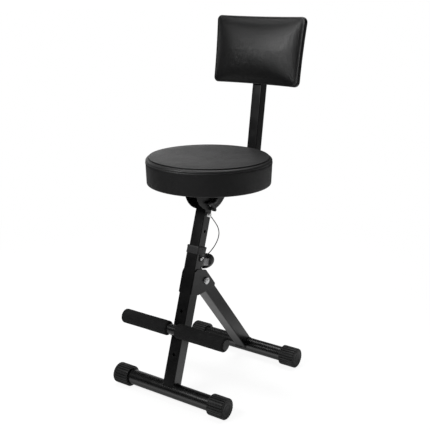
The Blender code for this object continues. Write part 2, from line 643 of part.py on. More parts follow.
# Footrest
def footrest(post):
    """The bar with its grips and plugs, on a saddle bolted through the post."""
    middle = axis('footrest_axis', post, (0, -FOOTREST_FRONT, FOOTREST_HEIGHT))
    bar_r = FOOTREST_BAR_D / 2
    half = FOOTREST_WIDTH / 2 - BAR_PLUG_HEAD - FIT
    bm = bmesh.new()
    tube(bm, circle(bar_r), circle(bar_r - FOOTREST_BAR_WALL), -half, half)
    piece('footrest_bar', middle, 'black_enamel', bm, ALONG_X)

    grip_r = GRIP_D / 2
    bore = circle(bar_r + FIT)
    lip = circle(grip_r - GRIP_ROUND)
    soft = circle(grip_r - 0.3 * GRIP_ROUND)
    full = circle(grip_r)
    grip_end = half
    rings = [(bore, GRIP_INNER_END), (lip, GRIP_INNER_END), (soft, GRIP_INNER_END + 0.3 * GRIP_ROUND),
             (full, GRIP_INNER_END + GRIP_ROUND), (full, grip_end - GRIP_ROUND),
             (soft, grip_end - 0.3 * GRIP_ROUND), (lip, grip_end), (bore, grip_end)]
    stem = circle(bar_r - FOOTREST_BAR_WALL - FIT)
    head = circle(bar_r)
    for side_name, turn in (('left', MIRROR_X @ ALONG_X), ('right', ALONG_X)):
        bm = bmesh.new()
        loft(bm, rings, closed=True)
        piece(f'footrest_grip_{side_name}', middle, 'black_foam', bm, turn)
        bm = bmesh.new()
        loft(bm, [(head, FOOTREST_WIDTH / 2), (head, half + FIT), (stem, half + FIT), (stem, half - PLUG_STEM)])
        piece(f'footrest_plug_{side_name}', middle, 'black_plastic', bm, turn)

    face = -FRAME_HALF - FIT
    reach = -FOOTREST_FRONT + bar_r - SADDLE_CHEEK
    low = STUD_HEIGHT - STUD_D / 2 - SADDLE_MARGIN
    high = FOOTREST_HEIGHT + STUD_D / 2 + SADDLE_MARGIN
    bm = bmesh.new()
    block = [(face, low), (face, high), (reach, high), (reach, low)]
    loft(bm, [(block, -SADDLE_WIDTH / 2), (block, SADDLE_WIDTH / 2)])
    saddle = piece('footrest_saddle', post, 'black_enamel', bm, ALONG_X)
    bm = bmesh.new()
    seat = moved(circle(bar_r + FIT, 2 * ROUND_STEPS), -FOOTREST_FRONT, FOOTREST_HEIGHT)
    loft(bm, [(seat, -SADDLE_WIDTH), (seat, SADDLE_WIDTH)])
    use_cutter(saddle, bm, ALONG_X)
    stud_head = -FOOTREST_FRONT + bar_r + 2 * FIT
    drill(saddle, STUD_D + 2 * FIT, STUD_HEIGHT, 0, -FOOTREST_FRONT, 0, ALONG_Y)

    washer_start = FRAME_HALF + FIT
    washer_end = washer_start + FOOTREST_WASHER
    nut_start = washer_end + FIT
    nut_end = nut_start + FOOTREST_NUT_HEIGHT
    bm = bmesh.new()
    rod = moved(circle(STUD_D / 2), STUD_HEIGHT, 0)
    loft(bm, [(rod, stud_head), (rod, nut_end + STUD_TAIL)])
    stud = piece('footrest_stud', post, 'bright_zinc', bm, ALONG_Y)
    bm = bmesh.new()
    loft(bm, [(seat, -SADDLE_WIDTH), (seat, SADDLE_WIDTH)])
    use_cutter(stud, bm, ALONG_X)
    stud_axis = axis('footrest_stud_axis', post, (0, 0, STUD_HEIGHT))
    bore_d = STUD_D + 2 * FIT
    washer('footrest_washer', stud_axis, 'bright_zinc', FOOTREST_WASHER_D, bore_d, washer_start, washer_end, ALONG_Y)
    nut('footrest_nut', stud_axis, 'bright_zinc', FOOTREST_NUT_FLATS, bore_d, nut_start, nut_end, ALONG_Y)


# Lanyard
def smooth_route(points, step):
    """Points an even step apart on a smooth curve through the route's own points."""
    knots = [Vector(p) for p in points]
    knots = [2 * knots[0] - knots[1]] + knots + [2 * knots[-1] - knots[-2]]
    fine = []
    for a, b, c, d in zip(knots, knots[1:], knots[2:], knots[3:]):
        for k in range(40):
            t = k / 40
            fine.append(0.5 * (2 * b + (c - a) * t + (2 * a - 5 * b + 4 * c - d) * t ** 2
                               + (3 * b - a - 3 * c + d) * t ** 3))
    fine.append(knots[-2])
    length = sum((q - p).length for p, q in zip(fine, fine[1:]))
    spacing = length / round(length / step)
    route, run = [fine[0]], 0.0
    for p, q in zip(fine, fine[1:]):
        run += (q - p).length
        if run >= spacing * len(route) and len(route) * spacing < length - spacing / 2:
            route.append(q)
    return route + [fine[-1]]


def lanyard(stool, post):
    """The wire from the lock pin to its anchor on the right side of the front post."""
    anchor = axis('anchor_axis', post, (0, 0, ANCHOR_HEIGHT))
    washer_start = FRAME_HALF + FIT
    washer_end = washer_start + ANCHOR_WASHER
    washer('anchor_washer', anchor, 'black_plastic', ANCHOR_WASHER_D, ANCHOR_SCREW_D + 2 * FIT,
           washer_start, washer_end, ALONG_X)
    seat_x = washer_end + FIT
    bolt('anchor_screw', anchor, 'bright_zinc', circle(ANCHOR_HEAD_D / 2), ANCHOR_SCREW_D,
         seat_x + ANCHOR_HEAD, seat_x, FRAME_HALF - FRAME_WALL + FIT, ALONG_X)
    route = smooth_route(LANYARD_ROUTE, LANYARD_STEP)
    curve = bpy.data.curves.new('lanyard', 'CURVE')
    curve.dimensions = '3D'
    curve.bevel_depth = LANYARD_D / 2
    curve.bevel_resolution = 2
    curve.use_fill_caps = True
    spline = curve.splines.new('POLY')
    spline.points.add(len(route) - 1)
    for point, place in zip(spline.points, route):
        point.co = (*place, 1)
    curve.materials.append(finish_material('lanyard', 'steel_wire'))
    wire = bpy.data.objects.new('lanyard', curve)
    bpy.context.collection.objects.link(wire)
    wire.parent = stool


# Seat post and lock pin
def seat_post(slide, pin):
    """The inner square tube with its height holes, its bottom guide, and the lock pin."""
    bm = bmesh.new()
    square_tube(bm, SEAT_TUBE, SEAT_POST_WALL, 0, SEAT_POST_LENGTH)
    body = piece('seat_post_tube', slide, 'black_enamel', bm)
    bolt_up = TILT_BOLT_HEIGHT - SEAT_POST_BOTTOM
    drill(body, TILT_BOLT_D + 2 * TURN_GAP, 0, bolt_up, -FRAME_TUBE, FRAME_TUBE, ALONG_X)
    for hole in range(HOLE_COUNT):
        height = PIN_HEIGHT - hole * HOLE_PITCH - SEAT_POST_BOTTOM
        drill(body, PIN_D + 2 * SLIDE_GAP, 0, height, -FRAME_TUBE, FRAME_TUBE, ALONG_X)
    guide_side = FRAME_TUBE - 2 * FRAME_WALL - 2 * FIT
    tube_plug('seat_post_guide', slide, guide_side, SEAT_TUBE - 2 * SEAT_POST_WALL, 0, -1)

    head_x = SEAT_TUBE_HALF + FIT
    head_r, pin_r = PIN_HEAD_D / 2, PIN_D / 2
    head_end = head_x + PIN_HEAD_LENGTH
    bevel = 0.2 * head_r
    bm = bmesh.new()
    turned(bm, [(0, head_end), (head_r - bevel, head_end), (head_r, head_end - bevel), (head_r, head_x),
                (pin_r, head_x), (pin_r, -head_x), (pin_r / 2, -head_x - PIN_TIP), (0, -head_x - PIN_TIP)])
    piece('lock_pin', pin, 'bright_zinc', bm, ALONG_X)


# Seat bracket
def seat_bracket(seat, knob):
    """Two round cheeks on the tilt bolt, with their washers, the clamp knob and the base plate."""
    reach_angle = math.asin((BRACKET_TOP - BRACKET_MIDDLE) / BRACKET_RADIUS)
    steps = ROUND_STEPS
    sweep = math.pi + 2 * reach_angle
    outline = []
    for i in range(steps + 1):
        angle = math.pi - reach_angle + sweep * i / steps
        outline.append((BRACKET_SETBACK + BRACKET_RADIUS * math.cos(angle),
                        BRACKET_MIDDLE + BRACKET_RADIUS * math.sin(angle)))
    for side_name, turn in (('left', MIRROR_X @ ALONG_X), ('right', ALONG_X)):
        bm = bmesh.new()
        loft(bm, [(outline, BRACKET_INNER), (outline, BRACKET_OUTER)])
        cheek = piece(f'seat_cheek_{side_name}', seat, 'black_enamel', bm, turn)
        drill(cheek, TILT_BOLT_D + 2 * FIT, 0, 0, -FRAME_TUBE, FRAME_TUBE, ALONG_X)
        washer(f'friction_washer_{side_name}', seat, 'nylon', FRICTION_WASHER_D, TILT_BOLT_D + 2 * FIT,
               SEAT_TUBE_HALF + FIT, SEAT_TUBE_HALF + FIT + FRICTION_WASHER, turn)
    head_x = BRACKET_OUTER + FIT
    washer_end = head_x + TILT_WASHER
    knob_start = washer_end + TURN_GAP
    knob_end = knob_start + TILT_KNOB_DEPTH
    socket_end = knob_start + TILT_BOLT_GRIP
    bolt('tilt_bolt', seat, 'bright_zinc', hexagon(TILT_BOLT_HEAD_FLATS), TILT_BOLT_D,
         -head_x - TILT_BOLT_HEAD, -head_x, socket_end - FIT, ALONG_X)
    washer('tilt_washer', seat, 'bright_zinc', TILT_WASHER_D, TILT_BOLT_D + 2 * FIT, head_x, washer_end, ALONG_X)

    arm_r = TILT_KNOB_ARM / 2
    tip_centre = TILT_KNOB_REACH - arm_r
    pitch = 2 * math.pi / TILT_KNOB_ARMS

    def winged(angle):
        off = abs((angle - TILT_KNOB_TURN + pitch / 2) % pitch - pitch / 2)
        across = tip_centre * math.sin(off)
        if across <= arm_r * math.cos(off):
            return max(TILT_KNOB_HUB_D / 2, tip_centre * math.cos(off) + math.sqrt(arm_r ** 2 - across ** 2))
        return max(TILT_KNOB_HUB_D / 2, arm_r / math.sin(off))

    full = polar(winged, 2 * ROUND_STEPS)
    crown = scaled(full, TILT_KNOB_CROWN)
    bm = bmesh.new()
    loft(bm, [(full, knob_start), (full, knob_end - TILT_KNOB_ROUND), (crown, knob_end)])
    body = piece('tilt_knob', knob, 'black_plastic', bm, ALONG_X)
    drill(body, TILT_BOLT_D + 2 * TURN_GAP, 0, 0, knob_start - FIT, socket_end, ALONG_X)


# Seat
def seat_screw_places():
    """Where the seat screws go up through the base plate."""
    u = BASE_PLATE_WIDTH / 2 - SEAT_SCREW_INSET
    front = BASE_FRONT + SEAT_SCREW_INSET
    rear = BASE_REAR - SEAT_SCREW_INSET
    return {'front_left': (-u, front), 'front_right': (u, front), 'rear_left': (-u, rear), 'rear_right': (u, rear)}


def arm_bolt_places():
    """Where the arm is bolted up through the base plate."""
    span = BASE_REAR - ARM_START
    return {'front': ARM_START + 0.25 * span, 'rear': ARM_START + 0.7 * span}


def seat_cushion(seat):
    """The round cushion: crowned top, sewn rim, sides drawn in, and a recess for its board."""
    radius = SEAT_D / 2
    rim_top = BOLT_TO_SEAT + SEAT_THICKNESS - SEAT_CROWN
    seam_z = rim_top - SEAT_RIM_DROP
    profile = [(0, rim_top + SEAT_CROWN)]
    for share in (0.35, 0.6, 0.8):
        profile.append((share * (radius - SEAT_RIM), rim_top + SEAT_CROWN * (1 - share ** 2)))
    for k in range(5):
        angle = math.pi / 2 * (1 - k / 4)
        profile.append((radius - SEAT_RIM + SEAT_RIM * math.cos(angle), seam_z + SEAT_RIM_DROP * math.sin(angle)))
    side = seam_z - SEAT_SEAM - BOLT_TO_SEAT
    profile.append((radius - SEAT_SEAM, seam_z - SEAT_SEAM))
    for share in (0.08, 0.35, 0.65, 1 - SEAT_FOOT / side):
        waist = SEAT_WAIST * math.sin(math.pi * share)
        profile.append((radius - SEAT_TAPER * share - waist, seam_z - SEAT_SEAM - side * share))
    profile.append((radius - SEAT_TAPER - SEAT_FOOT, BOLT_TO_SEAT))
    recess_r = BOARD_R + FIT
    recess_z = BOLT_TO_SEAT + BOARD + FIT
    profile += [(recess_r, BOLT_TO_SEAT), (recess_r, recess_z), (0, recess_z)]
    bm = bmesh.new()
    turned(bm, profile, SEAT_STEPS)
    piece('seat_cushion', seat, 'black_leather', bm, Matrix.Translation((0, SEAT_SETBACK, 0)))


def seat_base(seat):
    """The round board in the cushion, the steel plate under it, and the screws that join them."""
    bm = bmesh.new()
    rim = moved(circle(BOARD_R, SEAT_STEPS), 0, SEAT_SETBACK)
    loft(bm, [(rim, BOLT_TO_SEAT), (rim, BOLT_TO_SEAT + BOARD)])
    board = piece('seat_board', seat, 'plywood', bm)
    length = BASE_REAR - BASE_FRONT
    plate_outline = moved(rectangle(BASE_PLATE_WIDTH, length, BASE_PLATE_CORNER), 0, BASE_FRONT + length / 2)
    bm = bmesh.new()
    loft(bm, [(plate_outline, BASE_BOTTOM), (plate_outline, BASE_TOP)])
    plate = piece('seat_base_plate', seat, 'black_enamel', bm)
    tip = BOLT_TO_SEAT + SEAT_SCREW_GRIP
    for name, (u, v) in seat_screw_places().items():
        hole_d = SEAT_SCREW_D + 2 * FIT
        drill(plate, hole_d, u, v, BASE_BOTTOM - FIT, BASE_TOP + FIT)
        drill(board, hole_d, u, v, BOLT_TO_SEAT - FIT, tip + FIT)
        head = circle(SEAT_SCREW_HEAD_D / 2)
        head_top = BASE_BOTTOM - FIT
        place = Matrix.Translation((u, v, 0))
        bolt(f'seat_screw_{name}', seat, 'bright_zinc', head, SEAT_SCREW_D,
             head_top - SEAT_SCREW_HEAD, head_top, tip, place)
    for v in arm_bolt_places().values():
        drill(plate, ARM_BOLT_D + 2 * FIT, 0, v, BASE_BOTTOM - FIT, BASE_TOP + FIT)
        drill(board, ARM_BOLT_D + 2 * FIT, 0, v, BOLT_TO_SEAT - FIT, tip + FIT)


# Backrest
def backrest_arm(seat):
    """The tube under the seat that carries the upright, bolted up to the base plate."""
    end = UPRIGHT_BACK - BACK_TUBE_HALF / math.cos(BACK_LEAN) - FIT
    bm = bmesh.new()
    square_tube(bm, BACK_TUBE, BACK_TUBE_WALL, ARM_START, end)
    bm.transform(ALONG_Y)
    for vert in bm.verts:
        if vert.co.y > (ARM_START + end) / 2:
            vert.co.y += vert.co.z * math.tan(BACK_LEAN)
    body = piece('backrest_arm', seat, 'black_enamel', bm, Matrix.Translation((0, 0, ARM_MIDDLE)))
    seat_z = ARM_MIDDLE - BACK_TUBE_HALF - FIT
    tip = BOLT_TO_SEAT + SEAT_SCREW_GRIP
    for name, v in arm_bolt_places().items():
        drill(body, ARM_BOLT_D + 2 * FIT, 0, v, ARM_MIDDLE - BACK_TUBE, ARM_MIDDLE + BACK_TUBE)
        bolt(f'arm_bolt_{name}', seat, 'bright_zinc', hexagon(ARM_BOLT_FLATS), ARM_BOLT_D,
             seat_z - ARM_BOLT_HEAD, seat_z, tip, Matrix.Translation((0, v, 0)))


def upright(back):
    """The leaning tube behind the seat, with a plug in each end and the screws for the back board."""
    bottom = -UPRIGHT_BELOW_ARM
    bm = bmesh.new()
    square_tube(bm, BACK_TUBE, BACK_TUBE_WALL, bottom, UPRIGHT_TOP)
    body = piece('backrest_upright', back, 'black_enamel', bm)
    hole = BACK_TUBE - 2 * BACK_TUBE_WALL
    tube_plug('upright_plug_top', back, BACK_TUBE, hole, UPRIGHT_TOP, 1)
    tube_plug('upright_plug_bottom', back, BACK_TUBE, hole, bottom, -1)
    seat_y = BACK_TUBE_HALF + FIT
    tip = -BACK_TUBE_HALF - FIT - BACK_SCREW_GRIP
    for name, way in (('upper', 1), ('lower', -1)):
        height = BACK_CENTRE + way * BACK_SCREW_SPACING / 2
        drill(body, BACK_SCREW_D + 2 * FIT, height, 0, -BACK_TUBE, BACK_TUBE, ALONG_Y)
        bolt(f'backrest_screw_{name}', back, 'bright_zinc', circle(BACK_SCREW_HEAD_D / 2), BACK_SCREW_D,
             seat_y + BACK_SCREW_HEAD, seat_y, tip, Matrix.Translation((0, 0, height)) @ ALONG_Y)


def back_outline(inset, corner):
    """The backrest's outline drawn in by an inset: flared to the top, its sides pulled in a little."""
    half_u = BACK_WIDTH / 2 - inset
    half_v = BACK_HEIGHT / 2 - inset
    corners = rectangle(2 * half_u, 2 * half_v, corner, BACK_CORNER_STEPS)
    plain = []
    for i, here in enumerate(corners):
        plain.append(here)
        if i % (BACK_CORNER_STEPS + 1) == BACK_CORNER_STEPS:
            after = corners[(i + 1) % len(corners)]
            for k in range(1, BACK_SIDE_STEPS):
                share = k / BACK_SIDE_STEPS
                plain.append((here[0] + share * (after[0] - here[0]), here[1] + share * (after[1] - here[1])))
    points = []
    for u, v in plain:
        across, up = u / half_u, v / half_v
        flared = u + across * BACK_FLARE / 2 * up
        points.append((flared - across * BACK_DRAW_IN * (1 - up * up), v - up * BACK_DRAW_IN * (1 - across * across)))
    return points


def backrest_cushion(back):
    """The pillow-shaped cushion and the board in its back, facing forward from the upright."""
    face = BACK_TUBE_HALF + FIT
    board = back_outline(BACK_BOARD_INSET, BACK_CORNER / 2)
    pocket = back_outline(BACK_BOARD_INSET - FIT, BACK_CORNER / 2)
    depth = BACK_THICKNESS
    crown = depth - BACK_EDGE
    rings = [(pocket, -face - BOARD - FIT), (pocket, -face), (back_outline(0.004, BACK_CORNER), -face),
             (back_outline(0, BACK_CORNER), -face - 0.35 * BACK_EDGE),
             (back_outline(0.001, BACK_CORNER), -face - BACK_EDGE)]
    for inset, rise in ((0.012, 0.30), (0.026, 0.56), (0.044, 0.78), (0.064, 0.93), (0.084, 1.0)):
        rings.append((back_outline(inset, BACK_CORNER * 0.45), -face - BACK_EDGE - crown * rise))
    lay = Matrix(((1, 0, 0, 0), (0, 0, 1, 0), (0, 1, 0, BACK_CENTRE), (0, 0, 0, 1)))
    bm = bmesh.new()
    loft(bm, rings)
    piece('backrest_cushion', back, 'black_leather', bm, lay)
    bm = bmesh.new()
    loft(bm, [(board, -face), (board, -face - BOARD)])
    panel = piece('backrest_board', back, 'plywood', bm, lay)
    for way in (1, -1):
        height = BACK_CENTRE + way * BACK_SCREW_SPACING / 2
        drill(panel, BACK_SCREW_D + 2 * FIT, height, 0, -face - BACK_SCREW_GRIP - FIT, 0, ALONG_Y)


def main():
    """Build the whole stool, with each moving group on an empty at its joint."""
    for thing in list(bpy.data.objects):
        bpy.data.objects.remove(thing, do_unlink=True)
    stool = axis('stool', None, (0, -MIDDLE_Y, 0))
    front_foot = axis('front_foot_axis', stool, (0, 0, FOOT_AXIS_Z))
    post = axis('post_axis', stool, (0, 0, FOOT_AXIS_Z), -POST_LEAN)
    foot_bar('front', front_foot)
    front_post(post)
    collar(post)
    footrest(post)
    lanyard(stool, post)

    hinge_y = HINGE_HEIGHT * math.sin(POST_LEAN) + HINGE_BACK * math.cos(POST_LEAN)
    hinge_z = HINGE_HEIGHT * math.cos(POST_LEAN) - HINGE_BACK * math.sin(POST_LEAN)
    leg_slope = math.atan2(FOOT_SPREAD - hinge_y, hinge_z)
    leg_length = math.hypot(FOOT_SPREAD - hinge_y, hinge_z)
    hinge_cheeks(post, leg_slope + POST_LEAN)
    hinge = axis('hinge_axis', stool, (0, hinge_y, FOOT_AXIS_Z + hinge_z), leg_slope)
    hinge_hardware(hinge)
    leg = axis('rear_leg_axis', stool, hinge.location, leg_slope)
    rear_leg(leg, leg_length)
    foot_bar('rear', axis('rear_foot_axis', leg, (0, 0, -leg_length), -leg_slope))

    clamp(post, axis('clamp_axis', post, (0, 0, CLAMP_HEIGHT), -math.pi / 2))
    slide = axis('seat_post_axis', post, (0, 0, SEAT_POST_BOTTOM))
    seat_post(slide, axis('lock_pin_axis', post, (0, 0, PIN_HEIGHT)))

    seat = axis('seat_axis', stool, (0, TILT_BOLT_BACK, TILT_BOLT_Z))
    seat_bracket(seat, axis('tilt_knob_axis', seat, (0, 0, 0)))
    seat_base(seat)
    seat_cushion(seat)
    backrest_arm(seat)
    back = axis('backrest_axis', seat, (0, UPRIGHT_BACK, ARM_MIDDLE), -BACK_LEAN)
    upright(back)
    backrest_cushion(back)


main()
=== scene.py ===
"""Looks of a black folding guitar stool with a round padded seat and a padded backrest."""
import json
import math

import bmesh
import bpy
from mathutils import Matrix, Vector
from mathutils.bvhtree import BVHTree


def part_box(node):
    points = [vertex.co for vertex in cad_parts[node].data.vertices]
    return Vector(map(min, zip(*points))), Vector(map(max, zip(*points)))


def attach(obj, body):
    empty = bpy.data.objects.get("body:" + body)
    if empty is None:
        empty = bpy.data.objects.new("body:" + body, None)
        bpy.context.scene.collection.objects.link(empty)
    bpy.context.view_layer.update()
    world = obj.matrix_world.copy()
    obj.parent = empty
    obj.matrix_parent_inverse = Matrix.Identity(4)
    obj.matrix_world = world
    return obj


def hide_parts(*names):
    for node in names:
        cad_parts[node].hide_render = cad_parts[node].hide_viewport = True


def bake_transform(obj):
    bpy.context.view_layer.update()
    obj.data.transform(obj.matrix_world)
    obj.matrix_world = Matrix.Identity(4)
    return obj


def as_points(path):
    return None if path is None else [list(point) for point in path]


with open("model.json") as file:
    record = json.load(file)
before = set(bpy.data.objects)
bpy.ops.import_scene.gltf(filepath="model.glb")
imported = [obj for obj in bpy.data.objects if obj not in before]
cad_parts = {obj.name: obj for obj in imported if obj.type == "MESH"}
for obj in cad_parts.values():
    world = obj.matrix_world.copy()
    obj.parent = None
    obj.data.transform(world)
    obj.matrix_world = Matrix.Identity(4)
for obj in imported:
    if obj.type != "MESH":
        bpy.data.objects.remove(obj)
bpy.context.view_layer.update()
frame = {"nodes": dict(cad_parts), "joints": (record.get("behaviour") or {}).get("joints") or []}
NODES = frame["nodes"]
JOINTS = {joint["name"]: joint for joint in frame["joints"]}

# Camera, read from the photograph's perspective; its distance is from the front foot bar
CAMERA_RIGHT = 1.2409
CAMERA_BEFORE_BAR = 1.5513
CAMERA_HIGH = 1.0870
CAMERA_PITCH = 0.2766
CAMERA_TURN = 0.6142
CAMERA_LENS = 67.39
SENSOR_WIDTH = 36.0

# The studio: light levels, and the places, aims and sizes of its lamps
FLOOR_GLOW = 0.90
FLOOR_PAINT = 0.20
# Levels of the floor's painted brightness in reflections: near, mid-way, further out and far off the stool,
# and the level in the painted shadow strips along the foot bars
MIRROR_NEAR = 0.92
MIRROR_MID = 0.28
MIRROR_OUT = 1.0
FLOOR_BOUNCE = 0.75
MIRROR_PAINTED_SHADOW = 0.3
MIRROR_FAR = 0.12
SWEEP_LEVEL = 1.05
ROOM_LEVEL = 0.03
TOP_POWER = 40
FRONT_POWER = 15
TOP_PLACE = (-0.15, 0.35, 2.65)
FRONT_PLACE = (-0.36, -1.40, 1.48)
TOP_AIM = (0, 0, 0.3)
FRONT_AIM = (0, 0.15, 0.90)
TOP_SIZE = (1.8, 1.8)
FRONT_SIZE = (0.75, 0.32)
FLOOR_HALF = 30
BOUNCE_PAINT = 0.8
WHITE = (1, 1, 1, 1)

# Sizes of the pieces
FRAME_HALF = 0.0185
SEAT_TUBE_HALF = 0.016
BACK_TUBE_HALF = 0.0155
FIT = 0.0003
FLAT_ANGLE = math.radians(0.6)
SHARP_ANGLE = math.radians(30)
FOOT_TUBE_R = 0.021
CAP_R = 0.0288
CAP_LENGTH = 0.049
CAP_RIBS = 24
CAP_GROOVE = 0.0024
CAP_END_WALL = 0.004
RIB_CREST = 0.6
RIB_FOOT = 0.78
GRIP_R = 0.020
GRIP_ROLL = 0.005
BAR_R = 0.014
BAR_WALL = 0.002
BAR_EASE = 0.0003
BAR_RINGS = 60
BAR_SIDES = 128
LANYARD_R = 0.0013
BOARD = 0.009
COLLAR_LOW = 0.3783
COLLAR_SEAT = 0.3968
COLLAR_HIGH = 0.3998
COLLAR_WALL = 0.002
TONGUE_LENGTH = 0.005
TONGUE_HALF = 0.010
TONGUE_CORNER = 0.005
HINGE_NUT_FLATS = 0.017
HINGE_NUT_HEIGHT = 0.006
HINGE_BOLT_R = 0.005
HEX_FACE = 0.95
HEX_SLOPE = 0.577
THREAD_PITCH = 0.00125
THREAD_DEPTH = 0.0005
THREAD_CHAMFER = 0.0008
HINGE_THREAD = 0.007
TILT_THREAD = 0.004
ARM_THREAD = 0.006
SMALL_HEX_FLATS = 0.013
SMALL_HEX_HEIGHT = 0.0055
SMALL_BOLT_R = 0.004
STUD_HEIGHT = 0.1582
FOOTREST_NUT_START = 0.0206
RECESS_REACH = 0.6
RECESS_HALF_ANGLE = math.radians(11)
RECESS_DEPTH = 0.45
RECESS_WALL = 0.00008
SEAT_SCREW_HEAD_R = 0.005
SEAT_SCREW_R = 0.0025
SEAT_SCREW_HEAD = 0.0025
BACK_SCREW_HALF_GAP = 0.045
BACK_SCREW_HEAD_R = 0.006
BACK_SCREW_R = 0.003
BACK_SCREW_HEAD = 0.003
BACK_SCREW_BITE = 0.0063
ANCHOR_SCREW_HEAD_R = 0.00375
ANCHOR_SCREW_R = 0.002
PIN_R = 0.004
PIN_HEAD_R = 0.0055
PIN_HEAD_LENGTH = 0.009
PIN_TIP = 0.003
PIN_GROOVE = 0.0005
KNOB_START = 0.0431
KNOB_DEPTH = 0.0125
KNOB_HALF_SPAN = 0.030
KNOB_HALF_WIDTH = 0.021
KNOB_TURN = math.radians(-22)
WING_REACH = 0.0215
WING_HUB_R = 0.0095
WING_ARM_R = 0.0045
WING_TURN = math.radians(42)
WING_BLEND = 14
RIVET_BACK = 0.0125
RIVET_HEIGHT = 0.3428
BRACKET_OUTER = 0.0201
BASE_BELOW_SEAT = 0.0501
ARM_BELOW_BACK = 0.358
WELD_R = 0.0014
WELD_RIPPLE = 0.14
WELD_SWAY = 0.08
BEAD_STARTS = (-0.055, 0.030)
BEAD_STEP = 0.0011
BEAD_POINTS = 32
WELD_TURNS = 120
STAPLE_LENGTH = 0.010
STAPLE_R = 0.00045

# Filling of both covers: cloth under pressure, and how its moves are taken over
FILL_VOXEL = 0.005
FILL_PRESSURE = 2.5
FILL_QUALITY = 5
FILL_STEPS = 20
FILL_REACH = 0.015
FILL_ROUNDS = 6

# Seat cover
SEAT_R = 0.1713
SEAT_DISC_R = 0.1630
SEAT_DISC_HIGH = 0.0734
SEAT_DISC_EDGE = 0.0010
SEAT_FINE_R = 0.147
SEAM_DEPTH = 0.0011
SEAM_WIDTH = 0.0013
SEAM_UNEVEN = 0.12
SEAM_HELD = 0.0035
SEAM_EASE = 0.004
PUFF_HEIGHT = 0.0006
PUFF_BELOW = 0.0034
PUFF_WIDTH = 0.0022
CREASE_HELD = 0.005
CREASE_EASE = 0.006
FOOT_HELD = 0.006
FOOT_STIFF = 0.0115
RECESS_HELD = 0.013
STITCH_PULL = 0.30
STITCH_WIDTH = 0.0012
STITCH_HEIGHT = 0.0010
STITCH_SHARE = 0.82
STITCH_TILT = math.radians(7)
PLEAT = 0.00025
SEAT_CROWN = 0.0005
SEAT_ROLL_HIGH = 0.0697
SEAT_ROLL_LOW = 0.0638
SEAT_SEAM = 0.0614
SEAT_TAPER = 0.0022
SEAT_FOOT = 0.003
SEAT_RECESS_R = 0.1503
SEAT_STITCHES = 190
SEAT_STAPLES = 36
SEAT_SWELL = 0.0010
RING_UNEVEN = 0.3
HEM_INNER = 0.1440
HEM_OUTER = 0.1540

# Backrest cover
BACK_HALF_U = 0.1445
BACK_HALF_V = 0.096
BACK_FLARE = 0.006
BACK_DRAW_IN = 0.002
BACK_CORNER = 0.015
BACK_EDGE = 0.0165
BACK_DEPTH = 0.037
BACK_ROLL = 0.004
BACK_SWELL = 0.0020
BACK_BLEND = 2.2
BACK_SPREAD = 1.6
BACK_CROWN_REACH = 0.082
BACK_CROWN_POWER = 1.7
BACK_VALLEY = 0.0003
BACK_VALLEY_IN = 0.0068
BACK_VALLEY_WIDTH = 0.0022
BACK_COLUMNS = 120
BACK_ROWS = 90
BACK_FACE = BACK_TUBE_HALF + FIT
BACK_POCKET_INSET = 0.0197

# The lanyard: its route from the lock pin to its anchor, where it is parted in two, and its crimps
LANYARD_ROUTE = (
    (0.0210, 0.1563, 0.4883),
    (0.0215, 0.1622, 0.4829),
    (0.0225, 0.1755, 0.4675),
    (0.0275, 0.1825, 0.4520),
    (0.0331, 0.1803, 0.4371),
    (0.0342, 0.1732, 0.4208),
    (0.0342, 0.1564, 0.4048),
    (0.0336, 0.1340, 0.3926),
    (0.0262, 0.1214, 0.3827),
    (0.0224, 0.1177, 0.3779),
)
LANYARD_PART = 4
LANYARD_POINTS = 73
LANYARD_SIDES = 12
CURVE_STEPS = 40
CRIMP_R = 0.0021
CRIMP_PRESSED_R = 0.0018
CRIMP_END_R = 0.0019

# Angles over a quarter turn, for rounded rims
QUARTER = [math.pi / 2 * k / 6 for k in range(7)]


# Places of the main pieces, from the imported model
def middle(node):
    """The middle of a node's box."""
    low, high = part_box(node)
    return (low + high) / 2


def aimed(origin, direction):
    """A place at a point whose own Z looks along a direction."""
    turn = Vector(direction).to_track_quat("Z", "Y").to_matrix().to_4x4()
    return Matrix.Translation(origin) @ turn


FRONT_FOOT = middle("front_foot_tube")
REAR_FOOT = middle("rear_foot_tube")
POST_AXIS = Vector(JOINTS["height_slide"]["axis"])
POST_LEAN = math.atan2(POST_AXIS.y, POST_AXIS.z)
POST = Matrix.Translation(FRONT_FOOT) @ Matrix.Rotation(-POST_LEAN, 4, "X")
HINGE = Vector(JOINTS["rear_leg_fold"]["pos_m"])
LEG_SLOPE = math.atan2(REAR_FOOT.y - HINGE.y, HINGE.z - REAR_FOOT.z)
LEG_FOOT = Matrix.Translation(REAR_FOOT) @ Matrix.Rotation(LEG_SLOPE, 4, "X")
TILT_BOLT = Vector(JOINTS["seat_tilt"]["pos_m"])
CLAMP_TURN = Matrix.Rotation(-POST_LEAN - math.pi / 2, 4, "X")
CLAMP = Matrix.Translation(JOINTS["clamp_knob_turn"]["pos_m"]) @ CLAMP_TURN
PIN = Vector(JOINTS["lock_pin_pull"]["pos_m"])
SEAT_MIDDLE = middle("seat_cushion")
SEAT_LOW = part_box("seat_cushion")[0].z
SEAT = Matrix.Translation((SEAT_MIDDLE.x, SEAT_MIDDLE.y, SEAT_LOW))
UPRIGHT_LOW = middle("upright_plug_bottom")
UPRIGHT_AXIS = (middle("upright_plug_top") - UPRIGHT_LOW).normalized()
BACK_LEAN = math.atan2(UPRIGHT_AXIS.y, UPRIGHT_AXIS.z)
SCREWS_MIDDLE = middle("backrest_screw_lower").lerp(middle("backrest_screw_upper"), 0.5)
BACK_ORIGIN = UPRIGHT_LOW + UPRIGHT_AXIS * (SCREWS_MIDDLE - UPRIGHT_LOW).dot(UPRIGHT_AXIS)
BACK = Matrix.Translation(BACK_ORIGIN) @ Matrix.Rotation(-BACK_LEAN, 4, "X")

